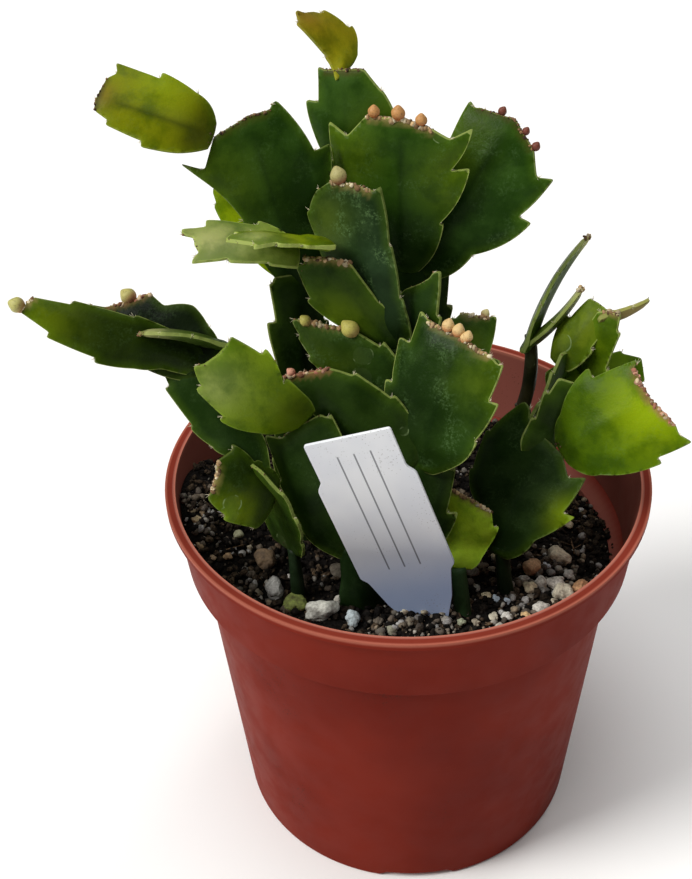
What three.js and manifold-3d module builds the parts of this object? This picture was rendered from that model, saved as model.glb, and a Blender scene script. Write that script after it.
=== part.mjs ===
// A holiday cactus in a round nursery pot: flat toothed stem segments on nine rooted cuttings,
// a gritty potting mix, a blank plant tag and a terracotta coloured plastic pot.
// Millimetres, +Z up. The origin is the centre of the pot's underside, and -Y is the front.
import * as THREE from 'three';
import { mergeVertices } from 'three/addons/utils/BufferGeometryUtils.js';
import Module from 'manifold-3d';

const wasm = await Module();
wasm.setup();

// Driving dimensions
const potHeight = 95;
const rimRadius = 54;
const footRadius = 41.5;
const wall = 1.3;
const collarHeight = 18.5;
const gap = 0.3;
const soilHeight = 77.2;
const soilFall = 0.055;
const marginThickness = 0.8;
const ribThickness = 2.6;
const neckWidth = 4.4;
const neckThickness = 2.2;
const footDepth = 9;
const footRise = 6;
const stubThickness = 1.6;
const bowShare = 0.05;
const cupDepth = 0.9;
const cupReach = 10;
const fusedRoot = 2;
const footRoot = -1.4;
const youngRoot = -0.9;
const corkRadius = 0.95;
const crownThickness = 0.55;
const ribTaper = [1.1, 0.4];
const firstBend = 0.33;
const laterBend = 0.45;
const plainSwell = 0.85;
const midStep = 0.1;
const lastStep = 0.5;

const rad = THREE.MathUtils.degToRad;
const lerp = THREE.MathUtils.lerp;

// A fixed sequence of draws, so that stones and grit always fall the same way
function drawer(seed) {
  let state = seed;
  return (low, high) => {
    state = (state * 1664525 + 1013904223) % 4294967296;
    return low + (high - low) * (state / 4294967296);
  };
}

// Closed solids, in and out of the boolean library
function toSolid(geometry) {
  const bare = new THREE.BufferGeometry();
  bare.setAttribute('position', geometry.getAttribute('position').clone());
  if (geometry.index) bare.setIndex(geometry.index.clone());
  const merged = mergeVertices(bare, 1e-4);
  const vertProperties = new Float32Array(merged.getAttribute('position').array);
  const triVerts = new Uint32Array(merged.index.array);
  return new wasm.Manifold(new wasm.Mesh({ numProp: 3, vertProperties, triVerts }));
}

function toGeometry(solid) {
  const mesh = solid.getMesh();
  const geometry = new THREE.BufferGeometry();
  geometry.setAttribute('position', new THREE.BufferAttribute(new Float32Array(mesh.vertProperties), 3));
  geometry.setIndex(new THREE.BufferAttribute(new Uint32Array(mesh.triVerts), 1));
  return geometry;
}

function join(solids) {
  return solids.reduce((sum, solid) => sum.add(solid));
}

// The biggest body of a joined solid: crumbs that a cut leaves loose are dropped
function wholeBody(solid) {
  const bodies = solid.decompose();
  return bodies.reduce((best, body) => (body.volume() > best.volume() ? body : best));
}

function colourOf(hex, roughness) {
  return new THREE.MeshStandardMaterial({ color: hex, roughness, metalness: 0 });
}

// Segments
// Each row is one flat stem segment, and each node is one rooted cutting or one young segment.
// foot: where a rooted one leaves the mix. on: the segment it grows from, how far along its rib, how
// far to its left and how far off its face. toward: the compass direction it leans in, 0 along +X
// and 90 along +Y. rise: degrees above level. turn: the twist of its face about its own rib, 0 with
// the face up. left and right: the teeth of each margin from base to tip, as distance along the rib,
// distance out from it, how far the margin steps back in behind the tooth, and how far it swells on
// its way there, with 0.5 for straight. apex: where the cut top edge meets the left and the right
// margin. corks: how many corky areoles that edge carries. buds: distance along, distance to the
// left, radius. root: how far the neck runs back past its base. bow: how far the rib arches.
// An old woody segment has only its half width, as stub.
const rows = [
  { name: 'l0', node: 'stem_left', foot: [-25, -23], length: 12, toward: 98, rise: 74, turn: -4,
    stub: 1.5 },
  { name: 'l1', node: 'stem_left', on: ['l0', 12.8, 0.1, 1.9], length: 25, toward: 199, rise: 75, turn: 20,
    left: [[4, 5, 0.8], [13, 7, 1.2], [21, 6.4, 1.2]],
    right: [[-1, 7, 0.8], [4.5, 8, 1], [11, 8.6, 0.8], [21, 7, 0.8]], apex: [[25, 3], [25, 2.4]],
    buds: [[13, -8.2, 0.8], [15, -8, 0.9], [17, -7.6, 0.9], [19, -7.2, 0.8]] },
  { name: 'l2', node: 'stem_left', on: ['l1', 21.4, -1.7, 1.4], length: 26.5, toward: 146, rise: 49,
    turn: -44,
    left: [[6, 2.8, 0], [10, 5, 0.3], [16, 6.2, 0.7], [25.4, 5.7, 1]],
    right: [[9, 5, 0.8], [17, 5.8, 1], [23, 4.4, 0.6]], apex: [[28.4, 4], [24, 3.4]] },
  { name: 'l3', node: 'stem_left', on: ['l2', 25.5, -3], length: 35.5, toward: 179, rise: 24, turn: -55,
    left: [[7, 3.6, 0], [12, 5.2, 0], [19.8, 6.5, 1], [30, 4.6, 1]],
    right: [[15, 5, 0.6], [27.4, 3.8, 0.8]],
    apex: [[36.4, 1.4], [34.6, 2]], corks: 3, buds: [[37.6, 0.4, 1.5]] },
  { name: 'l4', node: 'stem_left', on: ['l2', 24.5, -3.5], length: 20, toward: 151, rise: 31, turn: -40,
    left: [[14, 9, 1], [23.2, 10.4, 3.4], [25.4, 5.6, 0.6]],
    right: [[4, 6.6, 0.2], [9, 7.8, 0], [13.6, 4, 0]],
    apex: [[22.6, 3.6], [17.4, 4.2]], corks: 4, buds: [[20.6, -1, 1.6]] },
  { name: 'l5', node: 'stem_left', on: ['l4', 1, -4.5], length: 16, toward: 200, rise: 24, turn: 32,
    left: [[6, 3.2, 0.6], [13, 3, 0.8]], right: [[6, 3.2, 0.6], [13, 3, 0.8]],
    apex: [[15.8, 1.4], [15.8, 1.4]], corks: 2 },
  { name: 'l6', node: 'stem_left', on: ['l1', 18.8, 0.3, -0.2], length: 11, toward: 189, rise: 27,
    turn: -60,
    left: [[0, 8.6, 0.3], [7, 8, 1.2], [11.4, 4.4, 0.8]], right: [[4, 5.6, 0.8], [9.6, 7.4, 1.2]],
    apex: [[11, 3], [11.4, 3.4]], corks: 4 },

  { name: 'm0', node: 'stem_front_left', foot: [-10.6, -24.9], length: 16.5, toward: 130,
    rise: 88, turn: -33, stub: 5 },
  { name: 'm1', node: 'stem_front_left', on: ['m0', 16, 1, 0.8], length: 30, toward: 135, rise: 62,
    turn: -50,
    left: [[9, 9.4, 0.6], [20, 9.6, 0.8], [30, 8.8, 3.4]], right: [[9, 7.6, 0.8], [20, 8, 1.2], [30, 6, 1]],
    apex: [[29, 4.6], [30.6, 4]] },
  { name: 'm2', node: 'young_front_left', on: ['m1', 31.6, -0.5, 1.9], root: 1, length: 23, toward: 186,
    rise: 48, turn: -80,
    left: [[5, 7.6, 0], [13.4, 10.2, 1.2], [21.2, 8.2, 1.5], [25, 4.6, 1]],
    right: [[9, 5, 1.4], [16.6, 7, 1.4], [23.6, 4.5, 0.8]], apex: [[23.8, 3.4], [23, 3.2]] },

  { name: 'd0', node: 'stem_centre', foot: [-2, -22], length: 35, toward: 39, rise: 80, turn: 42,
    left: [[12, 8, 1], [24, 10, 1.6], [34, 7, 1.4]], right: [[14, 7, 1.4], [24, 8.6, 2.4], [34, 6.6, 1.2]],
    apex: [[35, 4], [35, 4]] },
  { name: 'd1', node: 'stem_centre', on: ['d0', 35, -0.1, 1.7], length: 27.5, toward: 47, rise: 66,
    turn: 10,
    left: [[13.8, 13.4, 1.8], [22.8, 13.3, 2.8], [29.5, 10.4, 2]],
    right: [[8.8, 9.6, 0.6], [17.7, 11.4, 2], [25.4, 9.9, 1]], apex: [[28.2, 8], [26, 7.4]],
    corks: 8, buds: [[29.6, 3.4, 1.3], [29, 1, 1.3], [29.6, -1.2, 1.1], [27.8, -0.8, 1.1]] },
  { name: 'd2', node: 'stem_centre', on: ['d0', 33.5, 4.1, -0.9], length: 28, toward: 162, rise: 41,
    turn: -75,
    left: [[8, 6, 0.6], [19, 5.8, 0.8], [28.8, 5, 0.6]],
    right: [[6.6, 8.8, 0.2], [11.7, 9.6, 0.9], [20.8, 7.9, 0.7]], apex: [[30.6, 3.6], [25, 4.6]],
    corks: 7, buds: [[30, 1.6, 0.9]] },

  { name: 'h0', node: 'stem_middle', foot: [-3, -6], length: 24, toward: 328, rise: 86, turn: -65,
    stub: 3 },
  { name: 'h1', node: 'stem_middle', on: ['h0', 22.7, 0, 0.4], length: 20, toward: 0, rise: 86, turn: 84,
    left: [[8, 5.6, 1], [16, 7, 1.4]], right: [[9, 6, 1], [17, 7, 1.4]], apex: [[20, 4], [20, 4]] },
  { name: 'h2', node: 'stem_middle', on: ['h1', 19, 2.5], length: 22, toward: 158, rise: 43, turn: -80,
    left: [[10, 7.4, 0.6], [18.4, 7.8, 1], [23, 6.2, 0.8], [26.5, 4.2, 0.6]],
    right: [[5.6, 7.2, 0.2], [10.8, 7.5, 1.2]], apex: [[25.6, 3], [16.6, 4.8]],
    corks: 6, buds: [[24.6, 2, 1.2], [17.4, -4.4, 1.9]] },
  { name: 'h3', node: 'stem_middle', on: ['h1', 19, -4.5], length: 20, toward: 38, rise: 50, turn: 36,
    left: [[9, 4.8, 0.8], [17.6, 4.2, 0.8]], right: [[14.4, 9.4, 3], [22, 4, 1]],
    apex: [[19.2, 2.8], [21, 2.6]], corks: 2, buds: [[21.4, -1.6, 0.9]] },
  { name: 'h4', node: 'stem_middle', on: ['h1', 19.6, 0, 0.8], length: 12, toward: 101, rise: 62, turn: -11,
    left: [[5, 5, 0.6], [10, 5.4, 1]], right: [[5, 5, 0.6], [10, 5.4, 1]], apex: [[12, 3.4], [12, 3.4]] },
  { name: 'h5', node: 'stem_middle', on: ['h4', 11.5, 1], length: 24, toward: 172, rise: 56, turn: -90,
    left: [[9, 7, 0.6], [18.5, 9.2, 1], [26, 6.6, 1.6]], right: [[4, 3.4, 0.3], [10.5, 3.8, 0.5]],
    apex: [[26.4, 4], [21, 3.4]], corks: 7 },
  { name: 'h6', node: 'stem_middle', on: ['h4', 11.8, 0.4, 1.2], length: 34.5, toward: 135, rise: 68,
    turn: -72,
    left: [[14, 8.4, 0.6], [24, 11.2, 0.4], [30.6, 11.5, 0.8], [34.4, 7.8, 0.2]],
    right: [[10, 4.8, 0.6], [21, 6.1, 0.5], [32.8, 6.8, 1.7]], apex: [[35.5, 4.2], [32.4, 4.6]],
    corks: 6, buds: [[36.8, 1.8, 1.7]] },
  { name: 'h7', node: 'stem_middle', on: ['h4', 10.9, -3, -0.5], length: 14, toward: 45, rise: 84, turn: 0,
    left: [[5, 5.4, 0.8], [11.2, 6.2, 2]], right: [[9, 6.4, 1], [18.4, 4.6, 1.6]],
    apex: [[11.6, 3.4], [16.4, 2.6]] },

  { name: 'k0', node: 'stem_back', foot: [-2, 12], length: 18, toward: 0, rise: 85, turn: 83, stub: 3 },
  { name: 'k1', node: 'stem_back', on: ['k0', 17.3, 0, 0.4], length: 21, toward: 0, rise: 89, turn: 86,
    left: [[9, 6, 1], [17, 7.4, 1.4]], right: [[8, 6.4, 1], [18, 7, 1.4]], apex: [[21, 4], [21, 4]] },
  { name: 'k2', node: 'stem_back', on: ['k1', 19, -1.5], length: 28, toward: 5, rise: 84, turn: 82,
    left: [[9, 6, 0.8], [18, 7.6, 1.2], [28, 6, 1.4]],
    right: [[8, 6.4, 0.8], [18, 7.6, 1.4], [28.6, 5.6, 1.8]],
    apex: [[27.4, 4], [27, 3.4]] },
  { name: 'k3', node: 'stem_back', on: ['k2', 27, 4], length: 31.5, toward: 87, rise: 87, turn: -14,
    left: [[10, 11, 1], [21.5, 17.2, 2.6], [29, 15.8, 4.2]],
    right: [[10, 8.6, 1], [22, 13.5, 3.8], [30.1, 13.7, 4.2]], apex: [[31.4, 7.6], [29.8, 6]], corks: 9,
    buds: [[32.8, 6, 1.2], [32.6, 1, 1.4], [32.4, -3.6, 1.2]] },
  { name: 'k4', node: 'stem_back', on: ['k2', 27, -1], length: 35, toward: 13, rise: 59, turn: 45,
    left: [[12, 8, 1], [22, 10.5, 1.6], [33, 10.2, 1.6]],
    right: [[7.4, 7.4, 0.2], [19.8, 14, 2.8], [29.5, 13, 3]], apex: [[32.8, 7.8], [32, 6.6]], corks: 6,
    buds: [[35.4, 3.2, 0.9], [34.8, -3.1, 0.8], [33.2, -6.4, 0.9]] },
  { name: 'k5', node: 'stem_back', on: ['k1', 19.3, 2.5, 0.4], length: 38, toward: 129, rise: 75, turn: -36,
    left: [[12, 6, 0.8], [24, 7.4, 1.2], [36, 6, 1]], right: [[14, 6.4, 0.8], [26, 7.6, 1.2], [36, 6, 1]],
    apex: [[38, 3.4], [38, 3.4]] },
  { name: 'k6', node: 'stem_back', on: ['k5', 37, 0], length: 29.5, toward: 114, rise: 80, turn: -48,
    left: [[12, 6.8, 1], [23.4, 9.2, 3], [30, 6, 1]],
    right: [[12, 9.4, 1], [20, 11, 0.8], [25.4, 7.6, 0.2]],
    apex: [[29.4, 4.6], [29.6, 4]], corks: 4 },
  { name: 'k7', node: 'young_top', on: ['k6', 27.4, 0.2, -4.3], root: -1.6, length: 15.5, toward: 164,
    rise: 50, turn: -30,
    left: [[6.5, 3, 0.4], [15.2, 2.8, 0.7]], right: [[2, 5.2, 0.2], [7.2, 6.9, 1.2], [13.4, 3.8, 0.9]],
    apex: [[17, 0.9], [14.4, 1.8]] },

  { name: 'w0', node: 'stem_back_left', foot: [-22, -4], length: 37, toward: 102, rise: 84, turn: -3,
    left: [[13, 6, 1], [24, 7.4, 1.4], [35, 6.4, 1]], right: [[12, 6.4, 1], [25, 7.4, 1.4], [35, 6, 1]],
    apex: [[37, 4], [37, 4]] },
  { name: 'w1', node: 'stem_back_left', on: ['w0', 34.9, -0.2, -1.7], length: 29, toward: 93, rise: 76,
    turn: 24,
    left: [[10, 6, 0.8], [20, 6.8, 1.9], [28, 5.2, 0.6]],
    right: [[9, 6.4, 1], [18, 7.4, 1.2], [26, 6.2, 1]],
    apex: [[29, 4], [29, 4]] },
  { name: 'w2', node: 'stem_back_left', on: ['w1', 26.8, -2.2, -0.4], length: 36, toward: 140, rise: 71,
    turn: -46,
    left: [[16.5, 7.6, 0.3], [30.6, 16, 4.4, 0.2]],
    right: [[13, 9, 1], [26, 14, 3.4], [37.2, 6.2, 1.1]],
    apex: [[34, 7.8], [35.8, 4.6]], corks: 4 },
  { name: 'w3', node: 'young_left_tip', on: ['w2', 34.3, 8.3, 1.8], root: 0, length: 23.5, toward: 171,
    rise: 19, turn: -45,
    left: [[12.4, 6.4, 1.2], [20.2, 4.4, 0.9]], right: [[5, 7.6, 0.1], [13, 9.2, 1.5], [22.2, 8.2, 2]],
    apex: [[23.1, 2.3], [22.8, 4.6]], corks: 1 },
  { name: 'w4', node: 'young_back_left', on: ['w1', 28.4, -2.5, -3.4], root: 2, length: 24, toward: 154,
    rise: 45, turn: -52,
    left: [[8, 5, 0.4], [17, 5.6, 0.8], [21.6, 3.6, 0.6]], right: [[7, 5.6, 0.8], [15, 5.4, 1]],
    apex: [[24, 1.8], [22, 2.6]] },
  { name: 'h8', node: 'young_pale_front', on: ['h5', 27.1, -1.1, 1.3], root: 1.5, length: 20.5, toward: 202,
    rise: 18, turn: 14,
    left: [[6, 4.4, 0.8], [12, 5.4, 1], [17.4, 6.4, 1.8]],
    right: [[2, 7, 0.6], [8, 7.4, 1.2], [12.4, 8.8, 2.6], [17, 5, 1.4]], apex: [[18.6, 2.4], [18.8, 2.2]] },
  { name: 'h9', node: 'young_pale_back', on: ['h5', 26.1, 4.4, -0.8], root: -1.4, length: 22, toward: 180,
    rise: 11, turn: -18,
    left: [[7, 3.6, 0.6], [15, 4.2, 0.8], [22.2, 5, 1.8]],
    right: [[10, 7.6, 1.4], [20.3, 6.5, 2], [25, 3.2, 1.2]],
    apex: [[20.8, 2.4], [22.2, 1.8]] },

  { name: 'f0', node: 'stem_front', foot: [10.6, -28], length: 11, toward: 105, rise: 71, turn: -17,
    stub: 1.8 },
  { name: 'f1', node: 'young_front', on: ['f0', 10.4, 0.3, -3.3], length: 15.5, toward: 60, rise: 70,
    turn: 25,
    left: [[7, 6.6, 0.3], [14, 7.2, 0.8]], right: [[3, 4.8, 0], [10.4, 7.4, 1.2]],
    apex: [[17.2, 4.9], [13.4, 5.2]], corks: 3 },

  { name: 'r0', node: 'stem_right', foot: [20.6, -21], length: 13, toward: 141, rise: 82, turn: -54,
    stub: 1.8 },
  { name: 'r1', node: 'stem_right', on: ['r0', 13, 0], length: 25, toward: 43, rise: 58, turn: 10,
    left: [[6, 9.4, 0.2], [12, 13.4, 0.8], [21, 13.6, 1], [30.2, 8, 1.9]],
    right: [[4.4, 6.6, 0], [12.8, 12.4, 2.6, 0.6], [21.4, 11.1, 3.4]], apex: [[27.4, 5.6], [23.6, 4.4]] },
  { name: 'r2', node: 'young_right', on: ['r1', 24.2, -4.5, 1], root: 0, length: 22, toward: 353,
    rise: 42, turn: 50,
    left: [[4, 6.8, 0], [14.2, 11.9, 2.4], [23.6, 8, 0.8]],
    right: [[5, 8.2, 0], [17, 12.5, 1.5], [24.4, 11.8, 2.7]],
    apex: [[22.2, 7], [23.6, 7.2]], corks: 4 },
  { name: 'r3', node: 'stem_right', on: ['r1', 22.7, 1.5, -3], length: 16, toward: 23, rise: 69, turn: 62,
    left: [[6, 4.6, 1], [12.6, 4.2, 1]], right: [[7, 4.6, 1], [13.4, 4.2, 1]],
    apex: [[16, 2.4], [16, 2.4]] },

  { name: 'q0', node: 'stem_back_right', foot: [33, 2], length: 15, toward: 180, rise: 80, turn: 88,
    stub: 2.8 },
  { name: 'q1', node: 'stem_back_right', on: ['q0', 14, 0], length: 17, toward: 149, rise: 82, turn: -69,
    left: [[7, 4.4, 0.8], [14, 4.6, 1]], right: [[7, 4.4, 0.8], [14, 4.6, 1]],
    apex: [[17, 2.6], [17, 2.6]] },
  { name: 'q2', node: 'stem_back_right', on: ['q1', 16, 0], length: 17.5, toward: 17, rise: 69, turn: 125,
    left: [[6, 4.6, 0.8], [14, 5, 1.2]], right: [[6, 4.6, 0.8], [14, 5, 1.2]],
    apex: [[17.5, 2.4], [17.5, 2.4]] },
  { name: 'q3', node: 'stem_back_right', on: ['q2', 16, -1], length: 13.5, toward: 18, rise: 54, turn: 29,
    left: [[7.3, 5.8, 1.6], [13.4, 3.4, 0.7]], right: [[5, 4.4, 0.8], [12, 3.8, 0.6]],
    apex: [[13.4, 2.2], [13.4, 2.6]] },
  { name: 'q4', node: 'stem_back_right', on: ['q3', 12.4, -2.4], length: 9.5, toward: 16, rise: 14,
    turn: 126,
    left: [[5, 2.8, 0.6]], right: [[5, 2.8, 0.6]], apex: [[9.4, 1.2], [9.4, 1.2]] },
  { name: 'q5', node: 'stem_back_right', on: ['q2', 8.8, -3.4, -0.2], length: 19, toward: 0, rise: 7,
    turn: 49,
    left: [[6, 4.6, 0.6], [10, 4.4, 0.6], [15, 4.8, 0.6]], right: [[7, 5, 0.8], [14, 4.8, 0.8]],
    apex: [[19, 2.6], [19, 2.6]] },
  { name: 'q6', node: 'stem_back_right', on: ['q5', 6, 0], length: 19, toward: 330, rise: 76, turn: 80,
    left: [[5, 3.6, 0.4], [12, 3.8, 0.5], [17.8, 2.6, 0.5]], right: [[6, 4.8, 0.8], [16, 3.8, 0.8]],
    apex: [[18.4, 1.4], [19.6, 2]], corks: 1 },
  { name: 'p1', node: 'stem_back_right', on: ['q0', 13, -2.5], length: 19.5, toward: 114, rise: 75,
    turn: 126,
    stub: 1.9 },
  { name: 'p2', node: 'stem_back_right', on: ['p1', 17.8, -0.3, 0.4], length: 17.5, toward: 71, rise: 76,
    turn: 114, stub: 1.7 },
  { name: 'p3', node: 'stem_back_right', on: ['p2', 16, 0], length: 26.5, toward: 28, rise: 58, turn: 125,
    bow: -1.6,
    left: [[9, 4, 0.6], [17, 3.6, 0.8]], right: [[9, 4, 0.6], [17, 3.6, 0.8]],
    apex: [[26, 1.4], [26, 1.4]], corks: 1 },
  { name: 'p4', node: 'stem_back_right', on: ['p2', 16, 0], length: 17, toward: 2, rise: 52, turn: 150,
    left: [[8, 3, 0.6]], right: [[8, 3, 0.6]], apex: [[16.6, 1.6], [16.6, 1.6]], corks: 1 },
];

// The frame of a segment: its base point, rib direction, left side and face
function directions(row) {
  const toward = rad(row.toward);
  const rise = rad(row.rise);
  const rib = new THREE.Vector3(
    Math.cos(rise) * Math.cos(toward),
    Math.cos(rise) * Math.sin(toward),
    Math.sin(rise),
  );
  const side = new THREE.Vector3(-Math.sin(toward), Math.cos(toward), 0);
  side.applyAxisAngle(rib, rad(row.turn));
  const face = new THREE.Vector3().crossVectors(rib, side);
  return { rib, side, face };
}

function soilTop(x) {
  return soilHeight - soilFall * x;
}

const placed = new Map();
for (const row of rows) {
  const { rib, side, face } = directions(row);
  const start = new THREE.Vector3();
  if (row.foot) {
    start.set(row.foot[0], row.foot[1], soilTop(row.foot[0]));
  } else {
    const [parentName, along, out, off = 0] = row.on;
    const parent = placed.get(parentName);
    start.copy(parent.start).addScaledVector(parent.rib, along);
    start.addScaledVector(parent.side, out).addScaledVector(parent.face, off);
  }
  placed.set(row.name, { row, start, rib, side, face });
}

// A margin runs from the neck out over each tooth, steps back in behind it, and ends where the cut
// top edge begins. Each stretch is a short quadratic curve that swells outwards.
function margin(teeth, corner, sunk) {
  const points = [new THREE.Vector2(-sunk, neckWidth / 2)];
  let from = points[0];
  teeth.forEach(([along, out, step, swell = plainSwell], index) => {
    const tip = new THREE.Vector2(along, out);
    const bendAlong = lerp(from.x, along, index === 0 ? firstBend : laterBend);
    const bend = new THREE.Vector2(bendAlong, lerp(from.y, out, out > from.y ? swell : 1 - swell));
    const curve = new THREE.QuadraticBezierCurve(from, bend, tip);
    points.push(...curve.getPoints(index === 0 ? 3 : 2).slice(1));
    from = tip;
    if (step > 0) {
      const back = index === teeth.length - 1 ? lastStep : midStep;
      from = new THREE.Vector2(along - back * step, out - step);
      points.push(from);
    }
  });
  points.push(new THREE.Vector2(corner[0], corner[1]));
  return points;
}

// How far out the margin lies at a distance along the rib, taking the innermost crossing
function reach(points, along) {
  let least = Infinity;
  for (let i = 1; i < points.length; i += 1) {
    const a = points[i - 1];
    const b = points[i];
    if ((a.x - along) * (b.x - along) <= 0 && a.x !== b.x) {
      least = Math.min(least, lerp(a.y, b.y, (along - a.x) / (b.x - a.x)));
    }
  }
  return least;
}

// A segment as a closed shell: both faces use the same triangles, thick at the rib and thin at the
// margins, arched along the rib and cupped across it
function blade(place, sunk) {
  const { row, start, rib, side, face } = place;
  const bow = row.bow ?? bowShare * row.length;
  const flat = [];
  const half = [];
  const keep = (point, halfThickness) => {
    flat.push(point);
    half.push(halfThickness);
    return flat.length - 1;
  };
  const stations = [0.25, 0.55, 0.85];
  const ribStart = keep(new THREE.Vector2(-sunk, 0), neckThickness / 2);
  const ribHalf = (t) => ribThickness / 2 * (ribTaper[0] - ribTaper[1] * t);
  const ribPoints = stations.map((t) => keep(new THREE.Vector2(t * row.length, 0), ribHalf(t)));
  const ribEnd = keep(new THREE.Vector2(row.length, 0), crownThickness);
  const triangles = [];
  const outline = [ribStart];
  const loops = [];
  for (const sign of [1, -1]) {
    const corner = row.apex[sign > 0 ? 0 : 1];
    const points = margin(sign > 0 ? row.left : row.right, corner, sunk);
    const edge = points.map((p, i) => {
      return keep(new THREE.Vector2(p.x, sign * p.y), i === 0 ? neckThickness / 2 : marginThickness / 2);
    });
    const veins = stations.map((t) => {
      const along = t * corner[0];
      const out = 0.5 * reach(points, along);
      return keep(new THREE.Vector2(along, sign * out), lerp(marginThickness, ribThickness, 0.5) / 2);
    });
    const panels = [[ribStart, ribPoints[0], veins[0]]];
    for (let i = 1; i < stations.length; i += 1) {
      panels.push([ribPoints[i - 1], ribPoints[i], veins[i], veins[i - 1]]);
    }
    panels.push([ribPoints.at(-1), ribEnd, veins.at(-1)]);
    panels.push([...edge, ribEnd, ...veins.toReversed(), ribStart]);
    for (const panel of panels) {
      const corners = THREE.ShapeUtils.triangulateShape(panel.map((k) => flat[k]), []);
      corners.forEach((corner) => triangles.push(corner.map((k) => panel[k])));
    }
    loops.push(edge);
  }
  outline.push(...loops[1], ribEnd, ...loops[0].toReversed());
  const count = flat.length;
  const positions = [];
  for (const up of [1, -1]) {
    flat.forEach((point, i) => {
      const t = THREE.MathUtils.clamp(point.x / row.length, 0, 1);
      const lift = bow * 4 * t * (1 - t) - cupDepth * (point.y / cupReach) ** 2 + up * half[i];
      const p = start.clone().addScaledVector(rib, point.x).addScaledVector(side, point.y);
      p.addScaledVector(face, lift);
      positions.push(p.x, p.y, p.z);
    });
  }
  const index = [];
  for (const [a, b, c] of triangles) {
    const turnsLeft = flat[b].clone().sub(flat[a]).cross(flat[c].clone().sub(flat[a])) > 0;
    const [p, q, r] = turnsLeft ? [a, b, c] : [a, c, b];
    index.push(p, q, r, p + count, r + count, q + count);
  }
  outline.forEach((a, i) => {
    const b = outline[(i + 1) % outline.length];
    index.push(a + count, b + count, b, a + count, b, a);
  });
  const geometry = new THREE.BufferGeometry();
  geometry.setAttribute('position', new THREE.Float32BufferAttribute(positions, 3));
  geometry.setIndex(index);
  return toSolid(geometry);
}

// An old woody segment with straight sides: an oval prism along the rib
function ovalPrism(start, rib, side, halfWidth, halfThickness, below, length) {
  const shape = new THREE.Shape();
  shape.absellipse(0, 0, halfWidth, halfThickness, 0, 2 * Math.PI);
  const drawn = { depth: below + length, bevelEnabled: false, curveSegments: 6 };
  const geometry = new THREE.ExtrudeGeometry(shape, drawn);
  const basis = new THREE.Matrix4().makeBasis(side, new THREE.Vector3().crossVectors(rib, side), rib);
  basis.setPosition(start.clone().addScaledVector(rib, -below));
  geometry.applyMatrix4(basis);
  return toSolid(geometry);
}

// A small round growth, drawn out along its axis. The smallest ones have fewer faces.
function knob(centre, radius, stretch, axis) {
  const small = radius <= corkRadius;
  const spread = 1.15 * radius;
  const geometry = small ? new THREE.OctahedronGeometry(spread) : new THREE.IcosahedronGeometry(radius);
  geometry.scale(1, 1, stretch);
  const turn = new THREE.Quaternion().setFromUnitVectors(new THREE.Vector3(0, 0, 1), axis);
  geometry.applyQuaternion(turn);
  geometry.translate(centre.x, centre.y, centre.z);
  return toSolid(geometry);
}

function pointOn(place, along, out) {
  return place.start.clone().addScaledVector(place.rib, along).addScaledVector(place.side, out);
}

// The corky crust of areoles on a cut top edge, and the round buds that sit on it
function growths(place) {
  const { row, rib } = place;
  const solids = [];
  const corks = row.corks ?? 0;
  for (let i = 0; i < corks; i += 1) {
    const t = 2 * (i + 0.5) / corks;
    const corner = row.apex[t < 1 ? 0 : 1];
    const share = Math.abs(1 - t);
    const along = lerp(row.length, corner[0], share);
    const out = share * corner[1] * (t < 1 ? 1 : -1);
    solids.push(knob(pointOn(place, along - 0.1, out), corkRadius, 0.9, rib));
  }
  for (const [along, out, radius] of row.buds ?? []) {
    solids.push(knob(pointOn(place, along, out), radius, 1.15, rib));
  }
  return solids;
}

function segmentSolids(place) {
  const { row, start, rib, side } = place;
  const solids = [];
  if (row.stub) {
    const thickness = Math.min(stubThickness, row.stub);
    const below = row.foot ? footDepth : fusedRoot;
    solids.push(ovalPrism(start, rib, side, row.stub, thickness, below, row.length));
    return solids;
  }
  if (row.foot) {
    solids.push(ovalPrism(start, rib, side, neckWidth / 2, neckThickness / 2, footDepth, footRise));
  }
  const young = row.node.startsWith('young');
  const plainRoot = row.foot ? footRoot : fusedRoot;
  solids.push(blade(place, row.root ?? (young ? youngRoot : plainRoot)), ...growths(place));
  return solids;
}

// The plain hole in the mix that a rooted segment stands in
function footHole(place) {
  const { row, start, rib, side } = place;
  const width = row.stub ?? neckWidth / 2;
  const thickness = row.stub ? Math.min(stubThickness, row.stub) : neckThickness / 2;
  return ovalPrism(start, rib, side, width + gap, thickness + gap, footDepth + gap, footRise);
}

const green = 0x2f5a1c;
const paleGreen = 0x8f9a20;
const nodeSolids = new Map();
for (const place of placed.values()) {
  const list = nodeSolids.get(place.row.node) ?? [];
  list.push(...segmentSolids(place));
  nodeSolids.set(place.row.node, list);
}

const group = new THREE.Group();
function addPiece(name, solid, material) {
  const mesh = new THREE.Mesh(toGeometry(solid), material);
  mesh.name = name;
  group.add(mesh);
}

for (const [node, solids] of nodeSolids) {
  const young = node.startsWith('young');
  addPiece(node, wholeBody(join(solids)), colourOf(young ? paleGreen : green, young ? 0.5 : 0.42));
}

// Plant tag: a thin stiff plastic stake with a shouldered head, pushed into the mix at a lean
const tagThickness = 0.7;
const tag = { start: new THREE.Vector3(2.7, -29, 78), toward: 180, rise: 72, turn: -97.3 };
const tagLength = 51.5;
const tagOutline = [
  [-11, 0], [-8, 1.6], [4.5, 7], [12.3, 9.1], [13.7, 10.3], [39.5, 10.3], [41.5, 8.9], [tagLength, 8.9],
];

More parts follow.
